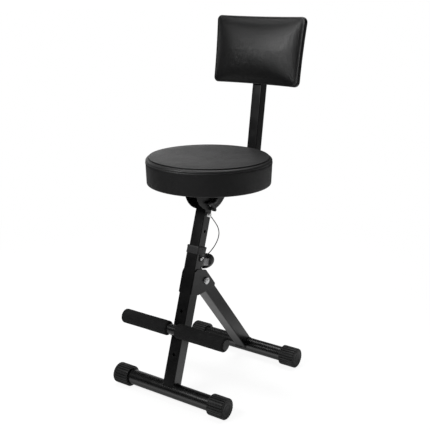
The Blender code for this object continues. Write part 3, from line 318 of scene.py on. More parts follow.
# Turns that lay a shape made along its own Z on another axis
ALONG_X = Matrix(((0, 0, 1, 0), (1, 0, 0, 0), (0, 1, 0, 0), (0, 0, 0, 1)))
ALONG_Y = Matrix(((0, 1, 0, 0), (0, 0, 1, 0), (1, 0, 0, 0), (0, 0, 0, 1)))
MIRROR_X = Matrix.Scale(-1, 4, (1, 0, 0))


# Shader groups and materials
def new_group(name, inputs, outputs):
    """A shader group with named value sockets, and the sockets inside it."""
    group = bpy.data.node_groups.new(name, "ShaderNodeTree")
    for label, value in inputs.items():
        socket = group.interface.new_socket(label, in_out="INPUT", socket_type="NodeSocketFloat")
        socket.default_value = value
    for label in outputs:
        group.interface.new_socket(label, in_out="OUTPUT", socket_type="NodeSocketFloat")
    return group, group.nodes.new("NodeGroupInput").outputs, group.nodes.new("NodeGroupOutput").inputs


def add(tree, kind, links=None, **settings):
    """A node with its settings, and links or values for its inputs."""
    node = tree.nodes.new(kind)
    for key, value in settings.items():
        setattr(node, key, value)
    for key, value in (links or {}).items():
        if isinstance(value, bpy.types.NodeSocket):
            tree.links.new(value, node.inputs[key])
        else:
            node.inputs[key].default_value = value
    return node


def ranged(tree, value, low, high, start=0.0, end=1.0):
    """A value mapped smoothly from one range to another."""
    links = {"Value": value, "From Min": low, "From Max": high, "To Min": start, "To Max": end}
    return add(tree, "ShaderNodeMapRange", links, interpolation_type="SMOOTHSTEP").outputs["Result"]


def calc(tree, operation, a, b=0.0):
    """One sum."""
    return add(tree, "ShaderNodeMath", {0: a, 1: b}, operation=operation).outputs[0]


def times(tree, a, b):
    """Two values multiplied."""
    return calc(tree, "MULTIPLY", a, b)


def plus(tree, a, b):
    """Two values added."""
    return calc(tree, "ADD", a, b)


def own_place(tree):
    """A point's place in its piece's own coordinates."""
    return add(tree, "ShaderNodeTexCoord").outputs["Object"]


def noise(tree, place, scale, detail, **more):
    """The value of a noise."""
    links = {"Vector": place, "Scale": scale, "Detail": detail, **more}
    return add(tree, "ShaderNodeTexNoise", links).outputs["Fac"]


def cells(tree, place, scale, **settings):
    """The distance in a pattern of cells."""
    links = {"Vector": place, "Scale": scale}
    return add(tree, "ShaderNodeTexVoronoi", links, **settings).outputs["Distance"]


def make_leather_grain():
    """Pebbled grain of coated fabric: a height, a mask that is dark in the valleys, and patches."""
    group, given, made = new_group("leather_grain", {"Scale": 520.0, "Patch Scale": 24.0},
                                   ("Height", "Valley", "Patch"))
    place = own_place(group)
    wander = add(group, "ShaderNodeTexNoise", {"Vector": place, "Scale": 180.0, "Detail": 2.0})
    bent = add(group, "ShaderNodeVectorMath", {0: wander.outputs["Color"], 3: 0.004}, operation="SCALE")
    moved = add(group, "ShaderNodeVectorMath", {0: place, 1: bent.outputs[0]}, operation="ADD").outputs[0]
    pebble = ranged(group, cells(group, moved, given["Scale"], feature="DISTANCE_TO_EDGE"), 0.0, 0.22)
    fine = noise(group, place, 1400.0, 2.0)
    patch = noise(group, place, given["Patch Scale"], 4.0, Roughness=0.62)
    group.links.new(plus(group, pebble, times(group, fine, 0.35)), made["Height"])
    group.links.new(pebble, made["Valley"])
    group.links.new(ranged(group, patch, 0.3, 0.7), made["Patch"])
    return group


def make_baked_skin():
    """Orange peel of a baked coat: a height, patches where the gloss varies, and specks."""
    group, given, made = new_group("baked_skin", {"Peel Scale": 420.0, "Patch Scale": 30.0},
                                   ("Height", "Patch", "Specks"))
    place = own_place(group)
    patch = noise(group, place, given["Patch Scale"], 5.0)
    group.links.new(noise(group, place, given["Peel Scale"], 1.5), made["Height"])
    group.links.new(ranged(group, patch, 0.3, 0.7), made["Patch"])
    group.links.new(ranged(group, cells(group, place, 900.0), 0.10, 0.02), made["Specks"])
    return group


def make_edge_rub():
    """Where handling rubs the outer edges, broken up by noise."""
    group, given, made = new_group("edge_rub", {"Break Scale": 160.0}, ("Rub",))
    plain = add(group, "ShaderNodeNewGeometry").outputs["Normal"]
    eased_over = add(group, "ShaderNodeBevel", {"Radius": 0.0010}, samples=4).outputs["Normal"]
    turned = add(group, "ShaderNodeVectorMath", {0: plain, 1: eased_over}, operation="DOT_PRODUCT")
    edge = ranged(group, turned.outputs["Value"], 0.995, 0.94)
    gaps = ranged(group, noise(group, own_place(group), given["Break Scale"], 4.0), 0.42, 0.62)
    group.links.new(times(group, edge, gaps), made["Rub"])
    return group


def make_dust_film():
    """Thin dust on faces that look up, thicker in patches."""
    group, given, made = new_group("dust_film", {"Amount": 0.5}, ("Dust",))
    coordinates = add(group, "ShaderNodeTexCoord").outputs
    up = add(group, "ShaderNodeSeparateXYZ", {0: coordinates["Normal"]}).outputs["Z"]
    patch = noise(group, coordinates["Object"], 38.0, 6.0, Roughness=0.7)
    film = times(group, ranged(group, up, 0.1, 1.0), ranged(group, patch, 0.35, 0.75))
    group.links.new(times(group, film, given["Amount"]), made["Dust"])
    return group


LEATHER_GRAIN = make_leather_grain()
BAKED_SKIN = make_baked_skin()
EDGE_RUB = make_edge_rub()
DUST_FILM = make_dust_film()


def placed(tree, group, **values):
    """The outputs of a group placed in a material with its own values."""
    node = tree.nodes.new("ShaderNodeGroup")
    node.node_tree = group
    for key, value in values.items():
        node.inputs[key.replace("_", " ")].default_value = value
    return node.outputs


def blank(name, **sockets):
    """A new material, its tree and its shader, with plain values on the shader's own sockets."""
    material = bpy.data.materials.new(name)
    material.use_nodes = True
    shader = material.node_tree.nodes["Principled BSDF"]
    for key, value in sockets.items():
        shader.inputs[key.replace("_", " ")].default_value = value
    return material, material.node_tree, shader


def mixed(tree, share, under, over):
    """A colour between two, by a share. The first is a colour or another node's output."""
    if not isinstance(under, bpy.types.NodeSocket):
        under = (*under, 1.0)
    links = {"Factor": share, "A": under, "B": (*over, 1.0)}
    return add(tree, "ShaderNodeMix", links, data_type="RGBA").outputs["Result"]


def coated(tree, shader, base, rough, height, strength, distance):
    """A colour, a roughness and a bump from a height, fed to the shader."""
    bump = add(tree, "ShaderNodeBump", {"Height": height, "Strength": strength, "Distance": distance})
    tree.links.new(base, shader.inputs["Base Color"])
    tree.links.new(rough, shader.inputs["Roughness"])
    tree.links.new(bump.outputs["Normal"], shader.inputs["Normal"])


def enamel_material(name, low, high, gloss):
    """Black stoving enamel with fine orange peel, faint dust and a little rub on the edges."""
    material, tree, shader = blank(name, Specular_IOR_Level=gloss)
    skin = placed(tree, BAKED_SKIN)
    rub = placed(tree, EDGE_RUB)
    dust = placed(tree, DUST_FILM, Amount=0.02)
    base = mixed(tree, skin["Patch"], (0.0020, 0.0020, 0.0022), (0.0030, 0.0030, 0.0033))
    base = mixed(tree, times(tree, rub["Rub"], 0.22), base, (0.08, 0.08, 0.084))
    base = mixed(tree, dust["Dust"], base, (0.16, 0.155, 0.15))
    rough = ranged(tree, skin["Patch"], 0.0, 1.0, low, high)
    dulled = plus(tree, rough, times(tree, dust["Dust"], 0.6))
    coated(tree, shader, base, dulled, skin["Height"], 0.035, 0.0004)
    return material


def leather_material(name, grain, low, high, dull, worn_smooth):
    """Black coated fabric with pebbled grain, worn a little smoother in patches."""
    material, tree, shader = blank(name, Specular_IOR_Level=0.5, Sheen_Weight=0.02, Sheen_Roughness=0.5)
    skin = placed(tree, LEATHER_GRAIN, Scale=grain)
    dust = placed(tree, DUST_FILM, Amount=0.010)
    base = mixed(tree, skin["Valley"], (0.0018, 0.0018, 0.002), low)
    base = mixed(tree, times(tree, skin["Patch"], 0.4), base, high)
    base = mixed(tree, dust["Dust"], base, (0.20, 0.195, 0.19))
    rough = ranged(tree, skin["Patch"], 0.0, 1.0, dull, worn_smooth)
    valley = ranged(tree, skin["Valley"], 0.0, 1.0, 0.12, 0.0)
    coated(tree, shader, base, plus(tree, rough, valley), skin["Height"], 0.26, 0.0005)
    return material


def foam_material():
    """Closed-cell black foam: small open pores and a dull face."""
    material, tree, shader = blank("sponge_foam", Specular_IOR_Level=0.3)
    place = own_place(tree)
    open_pore = ranged(tree, cells(tree, place, 700.0), 0.12, 0.38)
    grit = noise(tree, place, 1500.0, 3.0)
    patch = noise(tree, place, 45.0, 4.0)
    dust = placed(tree, DUST_FILM, Amount=0.06)
    base = mixed(tree, open_pore, (0.0022, 0.0022, 0.0022), (0.0065, 0.0065, 0.0068))
    base = mixed(tree, ranged(tree, patch, 0.4, 0.8, 0.0, 0.4), base, (0.011, 0.011, 0.0115))
    base = mixed(tree, dust["Dust"], base, (0.15, 0.15, 0.145))
    rough = ranged(tree, grit, 0.3, 0.7, 0.86, 0.98)
    coated(tree, shader, base, rough, plus(tree, open_pore, times(tree, grit, 0.5)), 0.5, 0.0006)
    return material


def moulded_material(name, dark, light, rough, grain):
    """Moulded plastic or rubber: fine spark grain, soft gloss that varies, rubbed edges."""
    material, tree, shader = blank(name, Specular_IOR_Level=0.45)
    skin = placed(tree, BAKED_SKIN, Peel_Scale=grain, Patch_Scale=50.0)
    rub = placed(tree, EDGE_RUB, Break_Scale=240.0)
    dust = placed(tree, DUST_FILM, Amount=0.05)
    pale = tuple(min(1.0, 3.0 * value + 0.02) for value in light)
    base = mixed(tree, skin["Patch"], dark, light)
    base = mixed(tree, times(tree, rub["Rub"], 0.25), base, pale)
    base = mixed(tree, dust["Dust"], base, (0.19, 0.185, 0.18))
    gloss = ranged(tree, skin["Patch"], 0.0, 1.0, rough + 0.06, rough - 0.04)
    grit = plus(tree, skin["Height"], times(tree, skin["Specks"], 0.4))
    coated(tree, shader, base, gloss, grit, 0.20, 0.0003)
    return material


def zinc_material(name, metallic, low, high):
    """Bright plate on steel: faint tumbling marks and cloudy gloss."""
    material, tree, shader = blank(name, Metallic=metallic)
    place = own_place(tree)
    cloud = noise(tree, place, 210.0, 6.0)
    marks = noise(tree, place, 1300.0, 2.0)
    plate = mixed(tree, ranged(tree, cloud, 0.35, 0.7), low, high)
    coated(tree, shader, plate, ranged(tree, cloud, 0.3, 0.7, 0.36, 0.22), marks, 0.12, 0.0002)
    return material


def wire_material():
    """Twisted steel wire: lay lines that wind round the wire along its own map."""
    material, tree, shader = blank("twisted_wire", Metallic=1.0)
    uv = add(tree, "ShaderNodeUVMap", uv_map="wire").outputs["UV"]
    parts = add(tree, "ShaderNodeSeparateXYZ", {0: uv}).outputs
    wound = plus(tree, times(tree, parts["X"], 6.0), times(tree, parts["Y"], 330.0))
    strand = ranged(tree, calc(tree, "SINE", times(tree, wound, 2 * math.pi)), -1.0, 1.0)
    steel = mixed(tree, strand, (0.030, 0.030, 0.032), (0.22, 0.22, 0.23))
    coated(tree, shader, steel, ranged(tree, strand, 0.0, 1.0, 0.6, 0.34), strand, 0.8, 0.0003)
    return material


def thread_material():
    """Black polyester thread with a plied twist."""
    material, tree, shader = blank("sewing_thread", Sheen_Weight=0.2)
    links = {"Vector": own_place(tree), "Scale": 900.0, "Distortion": 2.0}
    ply = add(tree, "ShaderNodeTexWave", links).outputs["Fac"]
    yarn = mixed(tree, ply, (0.008, 0.008, 0.009), (0.035, 0.035, 0.037))
    coated(tree, shader, yarn, ranged(tree, ply, 0.0, 1.0, 0.75, 0.5), ply, 0.4, 0.0002)
    return material


def dust_cloth_material():
    """Black spunbonded cloth under the seat and behind the backrest: crossed fibres and weld points."""
    material, tree, shader = blank("spunbond_cloth", Specular_IOR_Level=0.2)
    place = own_place(tree)
    fibre = noise(tree, place, 600.0, 5.0, Distortion=2.5)
    points = ranged(tree, cells(tree, place, 480.0, distance="CHEBYCHEV"), 0.15, 0.3)
    cloth = mixed(tree, fibre, (0.006, 0.006, 0.0065), (0.028, 0.028, 0.03))
    rough = ranged(tree, fibre, 0.3, 0.7, 0.82, 0.96)
    coated(tree, shader, cloth, rough, plus(tree, fibre, points), 0.4, 0.0004)
    return material


ENAMEL = enamel_material("stoved_enamel", 0.29, 0.34, 0.5)
BAR_ENAMEL = enamel_material("bar_enamel", 0.23, 0.27, 0.85)
SEAT_LEATHER = leather_material("seat_coated_fabric", 520.0, (0.0065, 0.0065, 0.0068),
                                (0.0105, 0.0105, 0.011), 0.41, 0.36)
# The backrest's fabric is a darker copy of the seat's: its colour is darkened to paint in the shade on the
# backrest
BACK_LEATHER_PAINTED_SHADE = leather_material("back_coated_fabric_painted_shade", 560.0, (0.0022, 0.0022, 0.0024),
                                (0.0040, 0.0040, 0.0043), 0.33, 0.28)
FOAM = foam_material()
RUBBER = moulded_material("foot_rubber", (0.0055, 0.0055, 0.0058), (0.0090, 0.0090, 0.0095), 0.50, 900.0)
PLASTIC = moulded_material("collar_plastic", (0.019, 0.019, 0.020), (0.028, 0.028, 0.029), 0.42, 1200.0)
KNOB_PLASTIC = moulded_material("knob_plastic", (0.060, 0.060, 0.061), (0.080, 0.080, 0.081), 0.38, 1200.0)
GREY_PLASTIC = moulded_material("boss_plastic", (0.23, 0.23, 0.234), (0.29, 0.29, 0.294), 0.40, 1200.0)
NYLON = moulded_material("washer_nylon", (0.50, 0.49, 0.46), (0.62, 0.61, 0.58), 0.50, 1000.0)
ZINC = zinc_material("bright_zinc_plate", 0.45, (0.80, 0.805, 0.81), (0.94, 0.945, 0.95))
STAPLE_WIRE = zinc_material("staple_wire", 0.90, (0.10, 0.10, 0.104), (0.17, 0.17, 0.175))
# The lock pin's plate is near white with little metal: a painted reflection of the bright surroundings that
# the plated pin mirrors
PIN_PAINTED_SHINE = zinc_material("pin_plate_painted_shine", 0.15, (0.92, 0.92, 0.915), (0.98, 0.98, 0.975))
WIRE = wire_material()
THREAD = thread_material()
DUST_CLOTH = dust_cloth_material()


# Making pieces
def as_object(bm, name, material, smooth=35):
    """A mesh object at the origin from a finished bmesh."""
    mesh = bpy.data.meshes.new(name)
    bm.to_mesh(mesh)
    bm.free()
    mesh.shade_smooth()
    mesh.set_sharp_from_angle(angle=math.radians(smooth))
    mesh.materials.append(material)
    thing = bpy.data.objects.new(name, mesh)
    bpy.context.scene.collection.objects.link(thing)
    return thing


def fitted(bm, name, material, body, stands_for=(), place=Matrix(), smooth=35):
    """A piece put in its place, riding on a body."""
    bmesh.ops.transform(bm, matrix=place, verts=bm.verts)
    bmesh.ops.recalc_face_normals(bm, faces=bm.faces)
    thing = as_object(bm, name, material, smooth)
    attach(thing, body)
    if stands_for:
        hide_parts(*stands_for)
    return thing


def rounded_over(bm, edges, width):
    """Round edges over by a width."""
    bmesh.ops.bevel(bm, geom=edges, offset=width, offset_type="OFFSET", segments=2, profile=0.5,
                    affect="EDGES", clamp_overlap=True, material=-1)


def eased(node, material, body, width):
    """Put a copy of a solid, with its sharp edges eased as on a made piece, in its place."""
    bm = bmesh.new()
    bm.from_mesh(NODES[node].data)
    bmesh.ops.remove_doubles(bm, verts=bm.verts, dist=2e-6)
    bmesh.ops.dissolve_limit(bm, angle_limit=FLAT_ANGLE, verts=bm.verts, edges=bm.edges)
    sharp = [e for e in bm.edges if e.is_manifold and e.calc_face_angle() > SHARP_ANGLE]
    rounded_over(bm, sharp, width)
    thing = as_object(bm, f"{node}_eased", material)
    thing.modifiers.new("flat_faces", "WEIGHTED_NORMAL").keep_sharp = True
    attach(thing, body)
    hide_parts(node)


def only(items, kind):
    """The items of one kind."""
    return [item for item in items if isinstance(item, kind)]


def spun(profile, steps, closed=False):
    """A solid spun about Z from (radius, height) points."""
    bm = bmesh.new()
    verts = [bm.verts.new((radius, 0, z)) for radius, z in profile]
    edges = [bm.edges.new(pair) for pair in zip(verts, verts[1:])]
    if closed:
        edges.append(bm.edges.new((verts[-1], verts[0])))
    bmesh.ops.spin(bm, geom=verts + edges, cent=(0, 0, 0), axis=(0, 0, 1), angle=2 * math.pi,
                   steps=steps, use_merge=True)
    bmesh.ops.remove_doubles(bm, verts=bm.verts, dist=1e-6)
    bmesh.ops.recalc_face_normals(bm, faces=bm.faces)
    return bm


def stepped(start, end, count):
    """Even steps from one value towards another, with the last left out."""
    return [start + (end - start) * k / count for k in range(count)]


def eased_step(value, low, high):
    """A smooth step from 0 to 1."""
    share = min(1.0, max(0.0, (value - low) / (high - low)))
    return share * share * (3 - 2 * share)


def hump(value, peak, width):
    """A smooth hump of height 1."""
    return math.exp(-((value - peak) / width) ** 2)


def runs_along(points):
    """The length of a line up to each of its points."""
    runs = [0.0]
    for p, q in zip(points, points[1:]):
        runs.append(runs[-1] + (q - p).length)
    return runs


def smooth_points(points, count):
    """Points an even step apart on a smooth curve through a few."""
    knots = [Vector(p) for p in points]
    knots = [2 * knots[0] - knots[1]] + knots + [2 * knots[-1] - knots[-2]]
    fine = []
    for a, b, c, d in zip(knots, knots[1:], knots[2:], knots[3:]):
        for k in range(CURVE_STEPS):
            t = k / CURVE_STEPS
            fine.append(0.5 * (2 * b + (c - a) * t + (2 * a - 5 * b + 4 * c - d) * t ** 2
                               + (3 * b - a - 3 * c + d) * t ** 3))
    fine.append(knots[-2])
    runs = runs_along(fine)
    even = []
    at = 0
    for i in range(count):
        want = runs[-1] * i / (count - 1)
        while at < len(runs) - 2 and runs[at + 1] < want:
            at += 1
        share = (want - runs[at]) / max(runs[at + 1] - runs[at], 1e-9)
        even.append(fine[at].lerp(fine[at + 1], min(share, 1.0)))
    return even


def wire_tube(points, radius, sides, closed=False, swell=None):
    """A round tube along points, closed to a ring or with filled ends, that may swell from point to point."""
    curve = bpy.data.curves.new("tube_line", "CURVE")
    curve.dimensions = "3D"
    curve.bevel_depth = radius
    curve.bevel_resolution = max(sides // 4, 1)
    curve.use_fill_caps = not closed
    spline = curve.splines.new("POLY")
    spline.points.add(len(points) - 1)
    for i, (point, place) in enumerate(zip(spline.points, points)):
        point.co = (*place, 1)
        if swell:
            point.radius = swell(i)
    spline.use_cyclic_u = closed
    line = bpy.data.objects.new("tube_line", curve)
    bpy.context.scene.collection.objects.link(line)
    bpy.context.view_layer.update()
    mesh = bpy.data.meshes.new_from_object(line.evaluated_get(bpy.context.evaluated_depsgraph_get()))
    bpy.data.objects.remove(line)
    bpy.data.curves.remove(curve)
    bm = bmesh.new()
    bm.from_mesh(mesh)
    bpy.data.meshes.remove(mesh)
    bmesh.ops.remove_doubles(bm, verts=bm.verts, dist=1e-7)
    bmesh.ops.recalc_face_normals(bm, faces=bm.faces)
    return bm


def stacked(rings, segments, through=False):
    """A solid of rings about Z, each a reach and a height that may change with the turn."""
    bm = bmesh.new()
    turn = bm.verts.layers.float.new("turn")
    bmesh.ops.create_circle(bm, cap_ends=False, segments=segments, radius=1.0)
    for vert in bm.verts:
        vert[turn] = math.atan2(vert.co.y, vert.co.x)
    first = edges = bm.edges[:]
    verts = bm.verts[:]
    for k, (reach, height) in enumerate(rings):
        if k:
            made = bmesh.ops.extrude_edge_only(bm, edges=edges)["geom"]
            edges = only(made, bmesh.types.BMEdge)
            verts = only(made, bmesh.types.BMVert)
        for vert in verts:
            angle = vert[turn]
            out = reach(angle) if callable(reach) else reach
            rise = height(angle) if callable(height) else height
            vert.co = (out * math.cos(angle), out * math.sin(angle), rise)
    if through:
        bmesh.ops.bridge_loops(bm, edges=first + edges)
    else:
        bmesh.ops.contextual_create(bm, geom=first)
        bmesh.ops.contextual_create(bm, geom=edges)
    bmesh.ops.recalc_face_normals(bm, faces=bm.faces)
    bm.normal_update()
    return bm


def rounded_square(half, corner):
    """The reach of a square with round corners, by the turn."""
    inner = half - corner

    def reach(turn):
        across, up = abs(math.cos(turn)), abs(math.sin(turn))
        flat = half / max(across, up)
        if flat * min(across, up) <= inner:
            return flat
        both = inner * (across + up)
        return both + math.sqrt(both * both - 2 * inner * inner + corner * corner)
    return reach


def hexagon(flats):
    """The reach of a hexagon, by the turn."""
    def reach(turn):
        return flats / 2 / math.cos((turn + math.pi / 6) % (math.pi / 3) - math.pi / 6)
    return reach


def hex_rings(flats, start, end):
    """Rings of a hexagon with its corners chamfered at both ends."""
    reach = hexagon(flats)
    face_r = HEX_FACE * flats / 2
    slope = HEX_SLOPE if end > start else -HEX_SLOPE

    def near(turn):
        return start + slope * (reach(turn) - face_r)

    def far(turn):
        return end - slope * (reach(turn) - face_r)
    return [(face_r, start), (reach, near), (reach, far), (face_r, end)]


def thread_rings(radius, start, end):
    """Rings of a cut thread from one height up to another, with a chamfered tip."""
    pitch = THREAD_PITCH
    rings = []
    for k in range(int((end - start) / pitch)):
        rings += [(radius, start + k * pitch), (radius - THREAD_DEPTH, start + (k + 0.55) * pitch)]
    return rings + [(radius, end - THREAD_CHAMFER), (radius - THREAD_CHAMFER, end)]


# Camera and light
def make_camera():
    """The camera at the photograph's viewpoint."""
    camera = bpy.data.cameras.new("camera")
    camera.lens = CAMERA_LENS
    camera.sensor_width = SENSOR_WIDTH
    thing = bpy.data.objects.new("camera", camera)
    thing.location = (CAMERA_RIGHT, FRONT_FOOT.y - CAMERA_BEFORE_BAR, CAMERA_HIGH)
    thing.rotation_euler = (math.pi / 2 - CAMERA_PITCH, 0, CAMERA_TURN)
    bpy.context.scene.collection.objects.link(thing)
    bpy.context.scene.camera = thing


def softbox(name, place, aim, size, power):
    """A large soft lamp turned to a point."""
    lamp = bpy.data.lights.new(name, "AREA")
    lamp.shape = "RECTANGLE"
    lamp.size, lamp.size_y = size
    lamp.energy = power
    thing = bpy.data.objects.new(name, lamp)
    thing.location = place
    thing.rotation_euler = (Vector(aim) - Vector(place)).to_track_quat("-Z", "Y").to_euler()
    bpy.context.scene.collection.objects.link(thing)


def glow(tree, strength):
    """A white glow."""
    return add(tree, "ShaderNodeEmission", {"Color": WHITE, "Strength": strength}).outputs[0]


def matt(tree, level):
    """A dull grey face."""
    return add(tree, "ShaderNodeBsdfDiffuse", {"Color": (level, level, level, 1)}).outputs[0]


def seen_straight(tree, path):
    """1 where the camera looks straight at it or through something clear."""
    return calc(tree, "MAXIMUM", path["Is Camera Ray"], path["Is Transmission Ray"])


def make_floor():
    """A white floor that keeps the soft shadows; in reflections its brightness is painted light: it changes
    with the distance from the stool, is dimmed in front, and has painted shadow strips along the two foot
    bars.
    """
    bm = bmesh.new()
    bmesh.ops.create_grid(bm, x_segments=1, y_segments=1, size=FLOOR_HALF)
    mesh = bpy.data.meshes.new("floor")
    bm.to_mesh(mesh)
    bm.free()
    floor = bpy.data.objects.new("floor", mesh)
    bpy.context.scene.collection.objects.link(floor)
    material = bpy.data.materials.new("floor")
    material.use_nodes = True
    tree = material.node_tree
    tree.nodes.clear()
    path = add(tree, "ShaderNodeLightPath").outputs
    place = own_place(tree)
    reach = add(tree, "ShaderNodeVectorMath", {0: place}, operation="LENGTH").outputs["Value"]
    y = add(tree, "ShaderNodeSeparateXYZ", {0: place}).outputs["Y"]
    # Painted light for reflections: the floor is dimmed in front and darkened in painted shadow strips along
    # the two foot bars
    before = times(tree, ranged(tree, reach, 0.7, 1.5), ranged(tree, y, 0.2, -0.5, 0.0, 0.96))
    painted_lit = calc(tree, "SUBTRACT", 1.0, before)
    for bar in (FRONT_FOOT, REAR_FOOT):
        off = calc(tree, "ABSOLUTE", calc(tree, "SUBTRACT", y, bar.y))
        painted_lit = times(tree, painted_lit, ranged(tree, off, 0.02, 0.09, MIRROR_PAINTED_SHADOW, 1.0))
    fall = plus(tree, ranged(tree, reach, 0.26, 0.52, MIRROR_NEAR - MIRROR_MID, 0.0),
                ranged(tree, reach, 0.60, 1.0, MIRROR_MID, MIRROR_OUT))
    fall = plus(tree, fall, ranged(tree, reach, 1.1, 2.2, 0.0, MIRROR_FAR - MIRROR_OUT))
    far = ranged(tree, reach, 0.7, 1.8)
    shaded = add(tree, "ShaderNodeAddShader", {0: glow(tree, FLOOR_GLOW), 1: matt(tree, FLOOR_PAINT)})
    seen = add(tree, "ShaderNodeMixShader", {0: far, 1: shaded.outputs[0], 2: glow(tree, 1.0)})
    bounce = add(tree, "ShaderNodeAddShader", {0: matt(tree, BOUNCE_PAINT), 1: glow(tree, FLOOR_BOUNCE)})
    mirrored = glow(tree, times(tree, painted_lit, fall))
    unseen = add(tree, "ShaderNodeMixShader", {0: path["Is Glossy Ray"], 1: bounce.outputs[0], 2: mirrored})
    straight = seen_straight(tree, path)
    mix = add(tree, "ShaderNodeMixShader", {0: straight, 1: unseen.outputs[0], 2: seen.outputs[0]})
    out = add(tree, "ShaderNodeOutputMaterial")
    tree.links.new(mix.outputs[0], out.inputs["Surface"])
    material.cycles.emission_sampling = "NONE"
    mesh.materials.append(material)


def make_studio():
    """A white sweep low behind, a dim room elsewhere, a lamp overhead and one at the front left."""
    bpy.context.scene.view_settings.view_transform = "Standard"
    world = bpy.data.worlds.new("studio")
    bpy.context.scene.world = world
    world.use_nodes = True
    tree = world.node_tree
    background = tree.nodes["Background"]
    seen = seen_straight(tree, add(tree, "ShaderNodeLightPath").outputs)
    view = add(tree, "ShaderNodeTexCoord").outputs["Generated"]
    way = add(tree, "ShaderNodeSeparateXYZ", {0: view}).outputs
    behind = ranged(tree, way["Y"], -0.35, 0.45)
    low = ranged(tree, way["Z"], 0.62, 0.22)
    left = ranged(tree, way["X"], -0.52, -0.63, 0.05, 1.08)
    sweep = times(tree, times(tree, behind, low), times(tree, left, SWEEP_LEVEL))
    level = calc(tree, "MAXIMUM", seen, plus(tree, sweep, ROOM_LEVEL))
    tree.links.new(level, background.inputs["Strength"])
    background.inputs["Color"].default_value = WHITE
    make_floor()
    softbox("top_lamp", TOP_PLACE, TOP_AIM, TOP_SIZE, TOP_POWER)
    softbox("front_lamp", FRONT_PLACE, FRONT_AIM, FRONT_SIZE, FRONT_POWER)


make_camera()
make_studio()


# Lanyard
def map_wire(bm, line, runs):
    """Map a wire's faces: round it, and along it in metres."""
    layer = bm.loops.layers.uv.new("wire")
    right = Vector((1, 0, 0))
    for face in bm.faces:
        for loop in face.loops:
            near = min(range(len(line)), key=lambda i: (line[i] - loop.vert.co).length_squared)
            out = loop.vert.co - line[near]
            along = (line[min(near + 1, len(line) - 1)] - line[max(near - 1, 0)]).normalized()
            side = along.cross(right).normalized()
            loop[layer].uv = (math.atan2(out.dot(right), out.dot(side)) / (2 * math.pi), runs[near])


def make_lanyard():
    """The wire in two lengths, parted at a point of its route, and its two crimps, which ride on the pin and
    the frame.
    """
    route = [(x, y + FRONT_FOOT.y, z) for x, y, z in LANYARD_ROUTE]
    points = smooth_points(route, LANYARD_POINTS)
    part = min(range(len(points)), key=lambda i: (points[i] - Vector(route[LANYARD_PART])).length)
    upper, lower = points[:part + 1], points[part:]
    lower.reverse()
    for name, line in (("lanyard_upper", upper), ("lanyard_lower", lower)):
        bm = wire_tube(line, LANYARD_R, LANYARD_SIDES)
        runs = runs_along(line)
        map_wire(bm, line, runs)
        thing = as_object(bm, name, WIRE, smooth=60)
        if name == "lanyard_upper":
            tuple(line[0])
            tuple(line[-1])
            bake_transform(thing)
            first = line[-1]
            reach = list(reversed(line))
            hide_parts("lanyard")
        else:
            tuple(line[0])
            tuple(line[-1])
            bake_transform(thing)
            first = line[0]
            reach = line
        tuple(first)
        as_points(reach)
    for name, line, body in (("upper_crimp", upper, "lock_pin"), ("lower_crimp", lower, "frame")):
        start = line[0].lerp(line[1], 0.25)
        way = line[2] - start
        end = way.length
        bore = LANYARD_R + 0.0001
        rings = [(bore, 0.0), (CRIMP_END_R, 0.0), (CRIMP_R, 0.0003), (CRIMP_R, 0.3 * end),
                 (CRIMP_PRESSED_R, 0.4 * end), (CRIMP_PRESSED_R, 0.6 * end), (CRIMP_R, 0.7 * end),
                 (CRIMP_R, end - 0.0003), (CRIMP_END_R, end), (bore, end)]
        fitted(stacked(rings, 20, through=True), name, ZINC, body, (), aimed(start, way))


make_lanyard()

# Plain pieces that keep their solid, with eased edges
for cad_node, finish, rider, ease in (
        ("front_post", ENAMEL, "frame", 0.0006), ("hinge_cheek_left", ENAMEL, "frame", 0.0007),
        ("hinge_cheek_right", ENAMEL, "frame", 0.0007), ("hinge_stop_web", ENAMEL, "frame", 0.0006),
        ("clamp_boss", GREY_PLASTIC, "frame", 0.0010), ("footrest_saddle", ENAMEL, "frame", 0.0008),
        ("footrest_stud", ZINC, "frame", 0.0005), ("footrest_washer", ZINC, "frame", 0.0003),
        ("anchor_washer", RUBBER, "frame", 0.0004), ("rear_leg_tube", ENAMEL, "rear_leg", 0.0006),
        ("hinge_bush", NYLON, "rear_leg", 0.0003), ("seat_post_tube", ENAMEL, "seat_post", 0.0005),
        ("seat_post_guide", PLASTIC, "seat_post", 0.0006), ("seat_cheek_left", ENAMEL, "seat", 0.0006),
        ("seat_cheek_right", ENAMEL, "seat", 0.0006), ("friction_washer_left", NYLON, "seat", 0.0002),
        ("friction_washer_right", NYLON, "seat", 0.0002), ("tilt_washer", ZINC, "seat", 0.0003),
        ("seat_base_plate", ENAMEL, "seat", 0.0006), ("seat_board", DUST_CLOTH, "seat", 0.0006),
        ("backrest_arm", ENAMEL, "seat", 0.0006), ("backrest_upright", ENAMEL, "seat", 0.0006),
        ("upright_plug_top", PLASTIC, "seat", 0.0007), ("upright_plug_bottom", PLASTIC, "seat", 0.0007),
        ("backrest_board", DUST_CLOTH, "seat", 0.0006), ("clamp_stud", ZINC, "clamp_knob", 0.0004),
        ("footrest_plug_left", PLASTIC, "frame", 0.0006), ("footrest_plug_right", PLASTIC, "frame", 0.0006)):
    eased(cad_node, finish, rider, ease)


